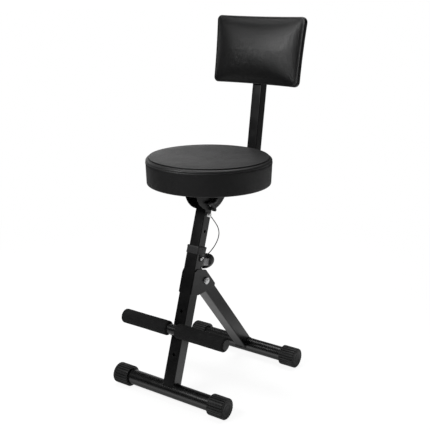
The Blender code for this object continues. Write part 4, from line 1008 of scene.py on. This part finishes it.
# Round bars
def drawn_tube(node, body):
    """A round tube along X in a solid's place, with eased ends and even rings."""
    low, high = (Vector(corner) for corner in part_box(node))
    half = (high.x - low.x) / 2
    outer = (high.z - low.z) / 2
    inner = outer - BAR_WALL
    along = stepped(half - BAR_EASE, BAR_EASE - half, BAR_RINGS) + [BAR_EASE - half]
    profile = [(inner + BAR_EASE, half), (outer - BAR_EASE, half)] + [(outer, z) for z in along]
    profile += [(outer - BAR_EASE, -half), (inner + BAR_EASE, -half)] + [(inner, z) for z in along[::-1]]
    place = Matrix.Translation((low + high) / 2) @ Matrix.Rotation(math.pi / 2, 4, "Y")
    fitted(spun(profile, BAR_SIDES, closed=True), f"{node}_drawn", BAR_ENAMEL, body, (node,), place)


for bar_node, rider in (("footrest_bar", "frame"), ("front_foot_tube", "frame"),
                        ("rear_foot_tube", "rear_leg")):
    drawn_tube(bar_node, rider)


# Bolts, nuts and screws
def make_nut(node, body, place, flats, bore, start, end):
    """A hexagon nut with chamfered corners and a countersunk bore."""
    rings = [(bore, start + 0.0005), (bore + 0.0005, start)] + hex_rings(flats, start, end)
    rings += [(bore + 0.0005, end), (bore, end - 0.0005)]
    fitted(stacked(rings, 48, through=True), f"{node}_cut", ZINC, body, (node,), place, smooth=25)


def make_bolt(node, body, place, flats, radius, head_end, seat, tip, thread):
    """A hexagon bolt with chamfered corners, and a cut thread for a length at its tip."""
    rings = hex_rings(flats, head_end, seat) + [(radius, seat)] + thread_rings(radius, tip - thread, tip)
    fitted(stacked(rings, 48), f"{node}_cut", ZINC, body, (node,), place, smooth=25)


def make_pan_screw(node, body, place, head_r, shank_r, top, seat, tip):
    """A pan-head screw with a cross recess."""
    rise = top - seat
    rings = [(0.5 * shank_r, tip), (shank_r, tip + 0.25 * (seat - tip)), (shank_r, seat),
             (0.97 * head_r, seat)]
    for share, part in ((1.0, 0.12), (1.0, 0.35), (0.95, 0.6), (0.86, 0.8), (0.74, 0.94), (0.62, 1.0),
                        (0.4, 1.0), (0.17, 1.0)):
        rings.append((share * head_r, seat + part * rise))
    bm = stacked(rings, 32)
    recess = []
    for face in bm.faces:
        centre = face.calc_center_median()
        radius = math.hypot(centre.x, centre.y)
        off = abs((math.atan2(centre.y, centre.x) + math.pi / 4) % (math.pi / 2) - math.pi / 4)
        level = abs(centre.z - top) < 1e-6
        cross = radius < RECESS_REACH * head_r and off < RECESS_HALF_ANGLE
        if level and (cross or radius < 0.05 * head_r):
            recess.append(face)
    bmesh.ops.inset_region(bm, faces=recess, thickness=RECESS_WALL, depth=-RECESS_DEPTH * abs(rise),
                           use_even_offset=True)
    fitted(bm, f"{node}_cut", ZINC, body, (node,), place, smooth=30)


def make_fasteners():
    """Every nut, bolt and screw in its place."""
    hinge = Matrix.Translation(HINGE) @ Matrix.Rotation(LEG_SLOPE, 4, "X") @ ALONG_X
    left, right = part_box("hinge_bolt")
    nut_left, nut_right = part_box("hinge_nut")
    make_nut("hinge_nut", "frame", hinge, HINGE_NUT_FLATS, HINGE_BOLT_R + FIT, nut_left.x, nut_right.x)
    make_bolt("hinge_bolt", "frame", hinge, HINGE_NUT_FLATS, HINGE_BOLT_R, left.x, left.x + HINGE_NUT_HEIGHT,
              right.x, HINGE_THREAD)
    stud = POST @ Matrix.Translation((0, 0, STUD_HEIGHT)) @ ALONG_Y
    make_nut("footrest_nut", "frame", stud, SMALL_HEX_FLATS, SMALL_BOLT_R + FIT, FOOTREST_NUT_START,
             FOOTREST_NUT_START + SMALL_HEX_HEIGHT)
    left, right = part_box("tilt_bolt")
    make_bolt("tilt_bolt", "seat", Matrix.Translation(TILT_BOLT) @ ALONG_X, SMALL_HEX_FLATS, SMALL_BOLT_R,
              left.x, left.x + SMALL_HEX_HEIGHT, right.x, TILT_THREAD)
    for node in ("arm_bolt_front", "arm_bolt_rear"):
        low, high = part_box(node)
        place = Matrix.Translation((0, middle(node).y, 0))
        make_bolt(node, "seat", place, SMALL_HEX_FLATS, SMALL_BOLT_R, low.z, low.z + SMALL_HEX_HEIGHT,
                  high.z, ARM_THREAD)
    for corner in ("front_left", "front_right", "rear_left", "rear_right"):
        node = f"seat_screw_{corner}"
        low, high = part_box(node)
        place = Matrix.Translation((middle(node).x, middle(node).y, 0))
        make_pan_screw(node, "seat", place, SEAT_SCREW_HEAD_R, SEAT_SCREW_R, low.z, low.z + SEAT_SCREW_HEAD,
                       high.z)
    for node, side in (("backrest_screw_lower", -1), ("backrest_screw_upper", 1)):
        place = BACK @ Matrix.Translation((0, 0, side * BACK_SCREW_HALF_GAP)) @ ALONG_Y
        make_pan_screw(node, "seat", place, BACK_SCREW_HEAD_R, BACK_SCREW_R, BACK_FACE + BACK_SCREW_HEAD,
                       BACK_FACE, -BACK_FACE - BACK_SCREW_BITE)
    left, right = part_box("anchor_screw")
    washer_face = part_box("anchor_washer")[1].x
    place = Matrix.Translation(middle("anchor_washer") * Vector((0, 1, 1))) @ ALONG_X
    make_pan_screw("anchor_screw", "frame", place, ANCHOR_SCREW_HEAD_R, ANCHOR_SCREW_R, right.x,
                   washer_face + FIT, left.x)


def make_lock_pin():
    """The pin, its plate coloured near white as a painted reflection: a turned head with two grooves and a
    hole in its end, on a pin with a pointed tip.
    """
    head, end = SEAT_TUBE_HALF + FIT, SEAT_TUBE_HALF + FIT + PIN_HEAD_LENGTH
    waist = PIN_HEAD_R - PIN_GROOVE
    profile = [(0, -head - PIN_TIP), (PIN_R / 2, -head - PIN_TIP), (PIN_R, -head), (PIN_R, head),
               (PIN_HEAD_R - 0.0003, head), (PIN_HEAD_R, head + 0.0003)]
    for groove in (head + 0.0022, head + 0.0042):
        profile += [(PIN_HEAD_R, groove), (waist, groove + 0.0003), (waist, groove + 0.0008),
                    (PIN_HEAD_R, groove + 0.0011)]
    profile += [(PIN_HEAD_R, end - 0.0012), (PIN_HEAD_R - 0.0003, end - 0.0005), (0.0044, end), (0.0022, end),
                (0.0018, end - 0.0003), (0.0018, end - 0.003), (0, end - 0.0036)]
    place = Matrix.Translation(PIN) @ ALONG_X
    fitted(spun(profile, 48), "lock_pin_turned", PIN_PAINTED_SHINE, "lock_pin", ("lock_pin",), place)


def make_rivet():
    """A small dome rivet in a black ring, high on the right side of the post."""
    place = POST @ Matrix.Translation((0, RIVET_BACK, RIVET_HEIGHT)) @ ALONG_X
    base = FRAME_HALF
    dome = [(0, base), (0.0022, base), (0.0022, base + 0.0005), (0.0019, base + 0.0011),
            (0.0012, base + 0.0015), (0, base + 0.0017)]
    ring = [(0.0024, base), (0.0042, base), (0.0042, base + 0.0004), (0.0037, base + 0.0009),
            (0.0027, base + 0.0009), (0.0024, base + 0.0006)]
    fitted(spun(dome, 24), "post_rivet", ZINC, "frame", (), place)
    fitted(spun(ring, 32, closed=True), "post_rivet_ring", PLASTIC, "frame", (), place)


make_fasteners()
make_lock_pin()
make_rivet()


# Welds
def make_weld(name, body, place, points, closed=True):
    """A rippled weld bead along points."""
    def ripple(i):
        return 1.0 + WELD_RIPPLE * math.sin(1.35 * i) + WELD_SWAY * math.sin(0.41 * i + 1)
    bm = wire_tube([place @ Vector(point) for point in points], WELD_R, 8, closed, ripple)
    fitted(bm, name, ENAMEL, body, (), smooth=60)


def make_welds():
    """Beads where the post and the leg sit on their foot bars, and where the seat's steel is joined."""
    turns = [2 * math.pi * k / WELD_TURNS for k in range(WELD_TURNS)]
    around = rounded_square(FRAME_HALF + 0.0006, 0.0036)
    cope = []
    for turn in turns:
        u, v = around(turn) * math.cos(turn), around(turn) * math.sin(turn)
        cope.append((u, v, math.sqrt(FOOT_TUBE_R ** 2 - v * v) + 0.0004))
    make_weld("post_foot_weld", "frame", POST, cope)
    make_weld("leg_foot_weld", "rear_leg", LEG_FOOT, cope)
    around = rounded_square(BACK_TUBE_HALF + 0.0005, 0.0035)
    joint = []
    for turn in turns:
        u, v = around(turn) * math.cos(turn), around(turn) * math.sin(turn)
        joint.append((u, -BACK_FACE - 0.0003, v - ARM_BELOW_BACK))
    make_weld("arm_weld", "seat", BACK, joint)
    for side in (-1, 1):
        for start in BEAD_STARTS:
            x, z = side * (BRACKET_OUTER + 0.0004), BASE_BELOW_SEAT - 0.0009
            bead = [(x, start + BEAD_STEP * k, z) for k in range(BEAD_POINTS)]
            label = f"bracket_weld_{'left' if side < 0 else 'right'}_{'front' if start < 0 else 'rear'}"
            make_weld(label, "seat", Matrix.Translation(TILT_BOLT), bead, False)


make_welds()


# Foot caps
def ribbed(radius, depth):
    """The reach of a cap with flat-topped ribs, by the turn."""
    pitch = 2 * math.pi / CAP_RIBS

    def reach(turn):
        off = abs((turn + math.pi / 2 + pitch / 2) % pitch - pitch / 2) / (pitch / 2)
        dip = eased_step(off, RIB_CREST, RIB_FOOT)
        crest = radius * math.cos(RIB_CREST * pitch / 2)
        return crest / math.cos(min(off, RIB_CREST) * pitch / 2) - depth * dip
    return reach


def make_foot_cap(node, body):
    """A ribbed rubber cap with a socket for the bar, a rolled mouth, and two plain rings on its bare end."""
    low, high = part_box(node)
    centre = (low + high) / 2
    side = 1 if centre.x > 0 else -1
    length = CAP_LENGTH
    socket = FOOT_TUBE_R + FIT
    full = ribbed(CAP_R, CAP_GROOVE)
    rings = [(socket, length - CAP_END_WALL), (socket, 0.0010), (socket + 0.0003, 0.0004),
             (socket + 0.0010, 0.0), (CAP_R - 0.0036, 0.0), (ribbed(CAP_R - 0.0008, 0.0014), 0.0003),
             (ribbed(CAP_R - 0.0002, 0.0017), 0.0010), (full, 0.0020)]
    for share in (0.25, 0.5, 0.75, 1.0):
        rings.append((full, 0.0020 + share * (length - 0.0045)))
    rings += [(ribbed(CAP_R - 0.0004, 0.0015), length - 0.0015),
              (ribbed(CAP_R - 0.0011, 0.0009), length - 0.0006), (CAP_R - 0.0030, length),
              (CAP_R - 0.0060, length), (CAP_R - 0.0064, length - 0.0007), (CAP_R - 0.0076, length - 0.0007),
              (CAP_R - 0.0080, length), (0.0125, length), (0.0121, length - 0.0006),
              (0.0108, length - 0.0006), (0.0104, length), (0.0050, length)]
    start = Vector((low.x if side > 0 else high.x, centre.y, centre.z))
    turn = ALONG_X if side > 0 else MIRROR_X @ ALONG_X
    bm = stacked(rings, CAP_RIBS * 12)
    fitted(bm, f"{node}_ribbed", RUBBER, body, (node,), Matrix.Translation(start) @ turn, smooth=32)


# Footrest grips
def make_grip(node):
    """A foam sleeve with soft rolled ends, a little uneven along its length."""
    low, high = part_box(node)
    length = high.x - low.x
    roll = GRIP_ROLL
    profile = [(BAR_R + 0.0004, 0.0015), (BAR_R + 0.001, 0.0004), (GRIP_R - roll, 0.0)]
    for angle in QUARTER[1:]:
        profile.append((GRIP_R - roll + roll * math.sin(angle), roll * (1 - math.cos(angle))))
    for k in range(1, 24):
        share = k / 24
        wave = 0.00012 * math.sin(9 * share + 0.6) + 0.00008 * math.sin(23 * share)
        profile.append((GRIP_R - 0.0001 + wave, roll + (length - 2 * roll) * share))
    for angle in reversed(QUARTER):
        profile.append((GRIP_R - roll + roll * math.sin(angle), length - roll * (1 - math.cos(angle))))
    profile += [(BAR_R + 0.001, length - 0.0004), (BAR_R + 0.0004, length - 0.0015)]
    bm = spun(profile, 72, closed=True)
    place = Matrix.Translation((low.x, (low.y + high.y) / 2, (low.z + high.z) / 2)) @ ALONG_X
    fitted(bm, f"{node}_foam", FOAM, "frame", (node,), place, smooth=50)


# Collar
def make_collar():
    """The plastic sleeve on the post: a hem, a groove, a lipped mouth, and a tongue on the right."""
    outer, inner, throat = FRAME_HALF + COLLAR_WALL, FRAME_HALF + FIT, SEAT_TUBE_HALF + FIT
    low, high = COLLAR_LOW, COLLAR_HIGH
    steps = [(inner, 0.003, low + 0.0005), (inner + 0.0005, 0.003, low), (outer - 0.0006, 0.0046, low),
             (outer, 0.005, low + 0.0006), (outer, 0.005, low + 0.0040),
             (outer - 0.0005, 0.0046, low + 0.0046), (outer - 0.0005, 0.0046, high - 0.0052),
             (outer, 0.005, high - 0.0047), (outer, 0.005, high - 0.0018),
             (outer - 0.0004, 0.0048, high - 0.0008),
             (outer - 0.0014, 0.0045, high), (throat + 0.0011, 0.0035, high),
             (throat + 0.0003, 0.0031, high - 0.0005), (throat, 0.003, high - 0.0012),
             (throat, 0.003, COLLAR_SEAT), (inner, 0.003, COLLAR_SEAT)]
    rings = [(rounded_square(half, corner), height) for half, corner, height in steps]
    fitted(stacked(rings, 144, through=True), "collar_moulded", PLASTIC, "frame", ("collar",), POST)
    foot, root = low - TONGUE_LENGTH, low + 0.0004
    narrow = TONGUE_HALF - TONGUE_CORNER
    outline = [(-TONGUE_HALF, root), (-TONGUE_HALF, foot + TONGUE_CORNER), (-narrow, foot), (narrow, foot),
               (TONGUE_HALF, foot + TONGUE_CORNER), (TONGUE_HALF, root)]
    bm = bmesh.new()
    face = bm.faces.new([bm.verts.new((u, v, inner)) for u, v in outline])
    made = bmesh.ops.extrude_face_region(bm, geom=[face])["geom"]
    bmesh.ops.translate(bm, vec=(0, 0, outer - inner), verts=only(made, bmesh.types.BMVert))
    rounded_over(bm, bm.edges[:], 0.0005)
    fitted(bm, "collar_tongue", PLASTIC, "frame", (), POST @ ALONG_X)


# Knobs
def oval(share):
    """The reach of the clamp knob's oval at a share of its size, by the turn."""
    def reach(turn):
        off = turn - KNOB_TURN
        return share / math.hypot(math.cos(off) / KNOB_HALF_SPAN, math.sin(off) / KNOB_HALF_WIDTH)
    return reach


def make_clamp_knob():
    """The oval knob behind the post: rounded rims, a ring on its face, a cap over its stud."""
    start, end = KNOB_START, KNOB_START + KNOB_DEPTH
    rings = [(SMALL_BOLT_R + FIT, start + 0.0096), (SMALL_BOLT_R + FIT, start), (0.0075, start),
             (0.0080, start + 0.0008), (oval(0.80), start + 0.0008), (oval(0.88), start + 0.0010)]
    for angle in QUARTER[1:]:
        rings.append((oval(0.88 + 0.12 * math.sin(angle)), start + 0.0010 + 0.0032 * (1 - math.cos(angle))))
    for angle in QUARTER:
        rings.append((oval(0.76 + 0.24 * math.cos(angle)), end - 0.0042 + 0.0040 * math.sin(angle)))
    rings += [(oval(0.68), end - 0.0001), (oval(0.66), end - 0.0007), (oval(0.62), end - 0.0007),
              (oval(0.60), end), (0.0088, end), (0.0084, end - 0.0006), (0.0074, end - 0.0006),
              (0.0070, end), (0.0030, end)]
    fitted(stacked(rings, 96), "clamp_knob_moulded", KNOB_PLASTIC, "clamp_knob", ("clamp_knob",), CLAMP,
           smooth=30)


def winged(inset):
    """The reach of the tilt knob's three arms and hub, drawn in by an inset, by the turn."""
    arm, hub = WING_ARM_R - inset, WING_HUB_R - inset
    tip = WING_REACH - WING_ARM_R
    pitch = 2 * math.pi / 3

    def reach(turn):
        off = abs((turn - WING_TURN + pitch / 2) % pitch - pitch / 2)
        across = tip * math.sin(off)
        if across <= arm * math.cos(off):
            long = tip * math.cos(off) + math.sqrt(arm ** 2 - across ** 2)
        else:
            long = arm / math.sin(off)
        return (long ** WING_BLEND + hub ** WING_BLEND) ** (1 / WING_BLEND)
    return reach


def make_tilt_knob():
    """The three-armed knob on the tilt bolt: rounded arms, and a dished cap on its hub."""
    left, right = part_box("tilt_knob")
    start, end = left.x, right.x
    rings = [(SMALL_BOLT_R + FIT, start + 0.0084), (SMALL_BOLT_R + FIT, start), (winged(0.0010), start),
             (winged(0.0005), start + 0.0003), (winged(0.0003), start + 0.0010)]
    for angle in QUARTER:
        inset = 0.0003 + 0.0024 * (1 - math.cos(angle))
        rings.append((winged(inset), end - 0.0030 + 0.0026 * math.sin(angle)))
    rings += [(0.0066, end - 0.0004), (0.0064, end), (0.0054, end), (0.0048, end - 0.0005),
              (0.0020, end - 0.0009)]
    fitted(stacked(rings, 144), "tilt_knob_moulded", PLASTIC, "tilt_knob", ("tilt_knob",),
           Matrix.Translation(TILT_BOLT) @ ALONG_X, smooth=30)


make_collar()
make_clamp_knob()
make_tilt_knob()
make_grip("footrest_grip_left")
make_grip("footrest_grip_right")
for cad_node, rider in (("front_foot_cap_left", "frame"), ("front_foot_cap_right", "frame"),
                        ("rear_foot_cap_left", "rear_leg"), ("rear_foot_cap_right", "rear_leg")):
    make_foot_cap(cad_node, rider)


# Cushions
def filled(bm, cap, held):
    """The surface of a cover filled like a cushion: cloth under pressure, held where sewn or stapled."""
    mesh = bpy.data.meshes.new("filling")
    bm.to_mesh(mesh)
    thing = bpy.data.objects.new("filling", mesh)
    bpy.context.scene.collection.objects.link(thing)
    remesh = thing.modifiers.new("remesh", "REMESH")
    remesh.mode = "VOXEL"
    remesh.voxel_size = FILL_VOXEL
    bpy.context.view_layer.update()
    graph = bpy.context.evaluated_depsgraph_get()
    thing.data = bpy.data.meshes.new_from_object(thing.evaluated_get(graph))
    thing.modifiers.clear()
    start = [vert.co.copy() for vert in thing.data.vertices]
    pins = thing.vertex_groups.new(name="held")
    pins.add([i for i, place in enumerate(start) if held(place)], 1.0, "REPLACE")
    cloth = thing.modifiers.new("cloth", "CLOTH")
    cloth.settings.vertex_group_mass = "held"
    cloth.settings.use_pressure = True
    cloth.settings.uniform_pressure_force = FILL_PRESSURE
    cloth.settings.effector_weights.gravity = 0
    cloth.settings.quality = FILL_QUALITY
    for step in range(1, FILL_STEPS + 1):
        bpy.context.scene.frame_set(step)
    graph = bpy.context.evaluated_depsgraph_get()
    blown = thing.evaluated_get(graph).to_mesh()
    places = []
    for vert, was in zip(blown.vertices, start):
        move = vert.co - was
        places.append(was + move * min(1.0, cap / max(move.length, 1e-9)))
    surface = BVHTree.FromPolygons(places, [tuple(face.vertices) for face in blown.polygons])
    bpy.context.scene.frame_set(1)
    bpy.data.objects.remove(thing)
    return surface


def fitted_over(bm, surface, share, ring=None):
    """Move a cover's points to the filled surface, by a share at each point, and smooth the moves.

    Where a ring is given, the moves of each ring are mostly evened out, as on a cover that was turned round.
    """
    bm.normal_update()
    moves = {}
    for vert in bm.verts:
        moves[vert] = 0.0
        part = share(vert.co)
        if part > 0:
            start = vert.co + vert.normal * FILL_REACH
            place = surface.ray_cast(start, -vert.normal, 2 * FILL_REACH)[0]
            if place:
                moves[vert] = part * (place - vert.co).dot(vert.normal)
    if ring:
        rings = {}
        for vert in bm.verts:
            rings.setdefault(ring(vert.co), []).append(vert)
        for verts in rings.values():
            mean = sum(moves[vert] for vert in verts) / len(verts)
            for vert in verts:
                moves[vert] = mean + RING_UNEVEN * (moves[vert] - mean)
    for _ in range(FILL_ROUNDS):
        after = {}
        for vert in bm.verts:
            near = [moves[edge.other_vert(vert)] for edge in vert.link_edges]
            after[vert] = 0.5 * moves[vert] + 0.5 * sum(near) / len(near)
        moves = after
    for vert, move in moves.items():
        vert.co += vert.normal * move


def seat_profile():
    """The seat cover's outline: flat disc, sewn crease, roll, seam, tapered side, turned-in foot, recess."""
    edge, fine = SEAT_DISC_EDGE, SEAT_FINE_R
    profile = []
    for radius in stepped(0, fine, 9) + stepped(fine, SEAT_DISC_R - edge, 9):
        profile.append((radius, SEAT_DISC_HIGH + SEAT_CROWN * (1 - (radius / SEAT_DISC_R) ** 2)))
    for angle in stepped(0, math.pi / 2, 5):
        drop = edge * (1 - math.cos(angle))
        profile.append((SEAT_DISC_R - edge * (1 - math.sin(angle)), SEAT_DISC_HIGH - drop))
    profile += [(SEAT_DISC_R, SEAT_DISC_HIGH - 0.0012), (SEAT_DISC_R + 0.0001, SEAT_ROLL_HIGH - 0.0008),
                (SEAT_DISC_R + 0.0005, SEAT_ROLL_HIGH - 0.0009)]
    wide, deep = SEAT_R - SEAT_DISC_R - 0.0008, SEAT_ROLL_HIGH - SEAT_ROLL_LOW
    profile += [(SEAT_DISC_R + 0.0009, SEAT_ROLL_HIGH - 0.0003)]
    for angle in stepped(math.radians(8), math.pi / 2, 14):
        profile.append((SEAT_R - wide * (1 - math.sin(angle)), SEAT_ROLL_HIGH - deep * (1 - math.cos(angle))))
    for z in stepped(SEAT_ROLL_LOW, SEAT_SEAM - 0.004, 12) + stepped(SEAT_SEAM - 0.004, SEAT_FOOT, 15):
        drawn = SEAT_TAPER * max(0.0, (SEAT_SEAM - z) / (SEAT_SEAM - SEAT_FOOT))
        profile.append((SEAT_R - drawn, z))
    foot_r = SEAT_R - SEAT_TAPER
    for angle in stepped(0, math.pi / 2, 6):
        profile.append((foot_r - SEAT_FOOT * (1 - math.cos(angle)), SEAT_FOOT * (1 - math.sin(angle))))
    profile += [(foot_r - SEAT_FOOT, 0), (SEAT_RECESS_R + 0.004, 0), (SEAT_RECESS_R, 0)]
    return profile + [(SEAT_RECESS_R, BOARD + FIT), (0, BOARD + FIT)]


def make_seat():
    """The round seat, filled by cloth under pressure and drawn in along its crease and seam."""
    seam, crease = SEAT_SEAM, SEAT_DISC_R

    def held(place):
        radius = math.hypot(place.x, place.y)
        sewn = abs(place.z - seam) < SEAM_HELD and radius > SEAT_R - 0.012
        creased = abs(radius - crease) < CREASE_HELD and place.z > seam + 0.005
        stapled = place.z < RECESS_HELD and radius < SEAT_RECESS_R + 0.002
        return sewn or creased or stapled or place.z < FOOT_HELD

    def loose(place):
        radius = math.hypot(place.x, place.y)
        if place.z < FOOT_STIFF:
            return 0.0
        sewn = hump(place.z, seam, SEAM_EASE) * eased_step(radius, SEAT_R - 0.02, SEAT_R - 0.01)
        creased = hump(radius, crease, CREASE_EASE) * eased_step(place.z, seam + 0.004, seam + 0.007)
        return (1 - sewn) * (1 - creased)

    def ring(place):
        return round(math.hypot(place.x, place.y), 4), round(place.z, 4)

    bm = spun(seat_profile(), 4 * SEAT_STITCHES)
    fitted_over(bm, filled(bm, SEAT_SWELL, held), loose, ring)
    for vert in bm.verts:
        radius = math.hypot(vert.co.x, vert.co.y)
        if radius < SEAT_R - 0.020 or vert.co.z < 0.012:
            continue
        out = Vector((vert.co.x, vert.co.y, 0)) / radius
        turn = math.atan2(vert.co.y, vert.co.x)
        dimple = math.cos(SEAT_STITCHES * turn)
        pull = 1 + STITCH_PULL * dimple + SEAM_UNEVEN * math.sin(17 * turn) * math.sin(5 * turn + 1)
        vert.co -= out * SEAM_DEPTH * pull * hump(vert.co.z, seam, SEAM_WIDTH)
        vert.co += out * PUFF_HEIGHT * dimple * hump(vert.co.z, seam - PUFF_BELOW, PUFF_WIDTH)
    cover = fitted(bm, "seat_cover", SEAT_LEATHER, "seat", ("seat_cushion",), SEAT, smooth=60)
    make_stitches("seat_stitching", seam - 0.0001, SEAT_R - 0.0009, SEAT_STITCHES, SEAT)


def make_stitches(name, height, radius, count, place):
    """A ring of thread stitches lying in the seam."""
    bm = bmesh.new()
    length = 2 * math.pi * radius / count
    shape = Matrix.Diagonal((STITCH_WIDTH, STITCH_SHARE * length, STITCH_HEIGHT, 1))
    tilt = Matrix.Rotation(STITCH_TILT, 4, "X")
    stitch = Matrix.Translation((radius, 0, height)) @ tilt @ shape
    for k in range(count):
        made = bmesh.ops.create_uvsphere(bm, u_segments=6, v_segments=5, radius=0.5)["verts"]
        turn = Matrix.Rotation(2 * math.pi * (k + 0.5) / count, 4, "Z")
        bmesh.ops.transform(bm, matrix=turn @ stitch, verts=made)
    fitted(bm, name, THREAD, "seat", (), place, smooth=60)


def make_staples(name, places):
    """Wire staples, each a short bar with its ends sunk in the cloth."""
    bm = bmesh.new()
    for place in places:
        made = bmesh.ops.create_cone(bm, cap_ends=True, segments=8, radius1=STAPLE_R, radius2=STAPLE_R,
                                     depth=STAPLE_LENGTH)["verts"]
        bmesh.ops.transform(bm, matrix=place, verts=made)
    fitted(bm, name, STAPLE_WIRE, "seat", ())


def make_seat_hem():
    """The cover's pleated edge, turned in under the seat and stapled to the board."""
    def low(depth):
        def rise(turn):
            return -depth - PLEAT * math.sin(29 * turn) * math.sin(13 * turn + 0.7)
        return rise

    rings = [(HEM_INNER, -0.0001), (HEM_INNER, low(0.0007)), (HEM_INNER + 0.0008, low(0.0011)),
             (HEM_INNER + 0.005, low(0.0012)), (HEM_OUTER - 0.002, low(0.0010)), (HEM_OUTER, -0.0004),
             (HEM_OUTER + 0.0006, -0.0001)]
    fitted(stacked(rings, 360, through=True), "seat_hem", SEAT_LEATHER, "seat", (), SEAT, smooth=60)
    places = []
    for k in range(SEAT_STAPLES):
        turn = Matrix.Rotation(2 * math.pi * (k + 0.5) / SEAT_STAPLES, 4, "Z")
        lay = Matrix.Rotation(math.pi / 2 + math.radians(6 * math.sin(5 * k)), 4, "X")
        places.append(SEAT @ turn @ Matrix.Translation((HEM_INNER + 0.0040, 0, -0.0013)) @ lay)
    make_staples("seat_staples", places)


def flared(x, z, half_u, half_v):
    """A point of a rectangle moved so that the rectangle is wider at its top and drawn in along its sides."""
    across, up = x / half_u, z / half_v
    x += across * (BACK_FLARE / 2 * up - BACK_DRAW_IN * (1 - up * up))
    z -= up * BACK_DRAW_IN * (1 - across * across)
    return x, z


def back_outline(u, v, inset, corner):
    """A point of the backrest's outline, for a place on the edge of a square, drawn in by an inset."""
    half_u, half_v = BACK_HALF_U - inset, BACK_HALF_V - inset
    x, z = u * half_u, v * half_v
    over_x, over_z = abs(x) - (half_u - corner), abs(z) - (half_v - corner)
    if over_x > 0 and over_z > 0:
        length = math.hypot(over_x, over_z)
        x = math.copysign(half_u - corner + corner * over_x / length, x)
        z = math.copysign(half_v - corner + corner * over_z / length, z)
    return flared(x, z, half_u, half_v)


def back_rise(inset):
    """How far the cover's front stands out at a distance in from its outline: edge, valley and crown."""
    if inset < BACK_ROLL:
        return BACK_EDGE - BACK_ROLL + BACK_ROLL * math.sqrt(max(0.0, 1 - (1 - inset / BACK_ROLL) ** 2))
    crown = 1 - (1 - min(1.0, (inset - BACK_ROLL) / BACK_CROWN_REACH)) ** BACK_CROWN_POWER
    valley = BACK_VALLEY * hump(inset, BACK_VALLEY_IN, BACK_VALLEY_WIDTH)
    return BACK_EDGE - valley + (BACK_DEPTH - BACK_EDGE) * crown


def back_front(u, v):
    """A point of the cover's front for a place on a square, and how far in from the outline it lies."""
    margin_x = BACK_HALF_U * (1 - abs(u)) ** BACK_SPREAD
    margin_z = BACK_HALF_V * (1 - abs(v)) ** BACK_SPREAD
    x = math.copysign(BACK_HALF_U - margin_x, u)
    z = math.copysign(BACK_HALF_V - margin_z, v)
    over_x, over_z = BACK_CORNER - margin_x, BACK_CORNER - margin_z
    inset = (max(margin_x, 1e-6) ** -BACK_BLEND + max(margin_z, 1e-6) ** -BACK_BLEND) ** (-1 / BACK_BLEND)
    if over_x > 0 and over_z > 0:
        reach, length = max(over_x, over_z), math.hypot(over_x, over_z)
        x = math.copysign(BACK_HALF_U - BACK_CORNER + reach * over_x / length, u)
        z = math.copysign(BACK_HALF_V - BACK_CORNER + reach * over_z / length, v)
    return *flared(x, z, BACK_HALF_U, BACK_HALF_V), inset


def make_backrest():
    """The padded back: a pillow front with soft mitred corners, a rolled edge, and a pocket for its board."""
    bm = bmesh.new()
    across = bm.verts.layers.float.new("across")
    up = bm.verts.layers.float.new("up")
    bmesh.ops.create_grid(bm, x_segments=BACK_COLUMNS, y_segments=BACK_ROWS, size=1.0)
    for vert in bm.verts:
        vert[across], vert[up] = vert.co.x, vert.co.y
        x, z, inset = back_front(vert.co.x, vert.co.y)
        vert.co = (x, -BACK_FACE - back_rise(inset), z)
    edges = [edge for edge in bm.edges if edge.is_boundary]
    rings = [(0.0, BACK_CORNER, 0.0115), (0.0, BACK_CORNER, 0.008), (0.0006, BACK_CORNER, 0.004),
             (0.0018, BACK_CORNER, 0.0015), (0.004, BACK_CORNER, 0.0), (0.010, 0.011, 0.0),
             (BACK_POCKET_INSET, BACK_CORNER / 2, 0.0), (BACK_POCKET_INSET, BACK_CORNER / 2, BOARD + FIT)]
    for inset, corner, rise in rings:
        made = bmesh.ops.extrude_edge_only(bm, edges=edges)["geom"]
        edges = only(made, bmesh.types.BMEdge)
        for vert in only(made, bmesh.types.BMVert):
            x, z = back_outline(vert[across], vert[up], inset, corner)
            vert.co = (x, -BACK_FACE - rise, z)
    bmesh.ops.contextual_create(bm, geom=edges)
    bmesh.ops.recalc_face_normals(bm, faces=bm.faces)

    def held(place):
        return place.y > -BACK_FACE - BACK_EDGE + 0.004

    def loose(place):
        return eased_step(-BACK_FACE - place.y, BACK_EDGE - 0.0005, BACK_EDGE + 0.008)

    fitted_over(bm, filled(bm, BACK_SWELL, held), loose)
    cover = fitted(bm, "back_cover", BACK_LEATHER_PAINTED_SHADE, "seat", ("backrest_cushion",), BACK, smooth=70)


def make_back_staples():
    """Staples round the edge of the backrest's board, clear of the upright."""
    places = []
    square = [(-1 + 2 * k / 12, side) for k in range(13) for side in (-1, 1)]
    square += [(side, -0.75 + 1.5 * k / 7) for k in range(8) for side in (-1, 1)]
    for u, v in square:
        x, z = back_outline(u * 0.96, v * 0.96, BACK_POCKET_INSET, BACK_CORNER / 2)
        if abs(x) < BACK_TUBE_HALF + STAPLE_LENGTH:
            continue
        lay = Matrix.Rotation(math.pi / 2, 4, "Y") if abs(v) == 1 else Matrix()
        places.append(BACK @ Matrix.Translation((x, -BACK_FACE + 0.0002, z)) @ lay)
    make_staples("back_staples", places)


make_seat()
make_seat_hem()
make_backrest()
make_back_staples()
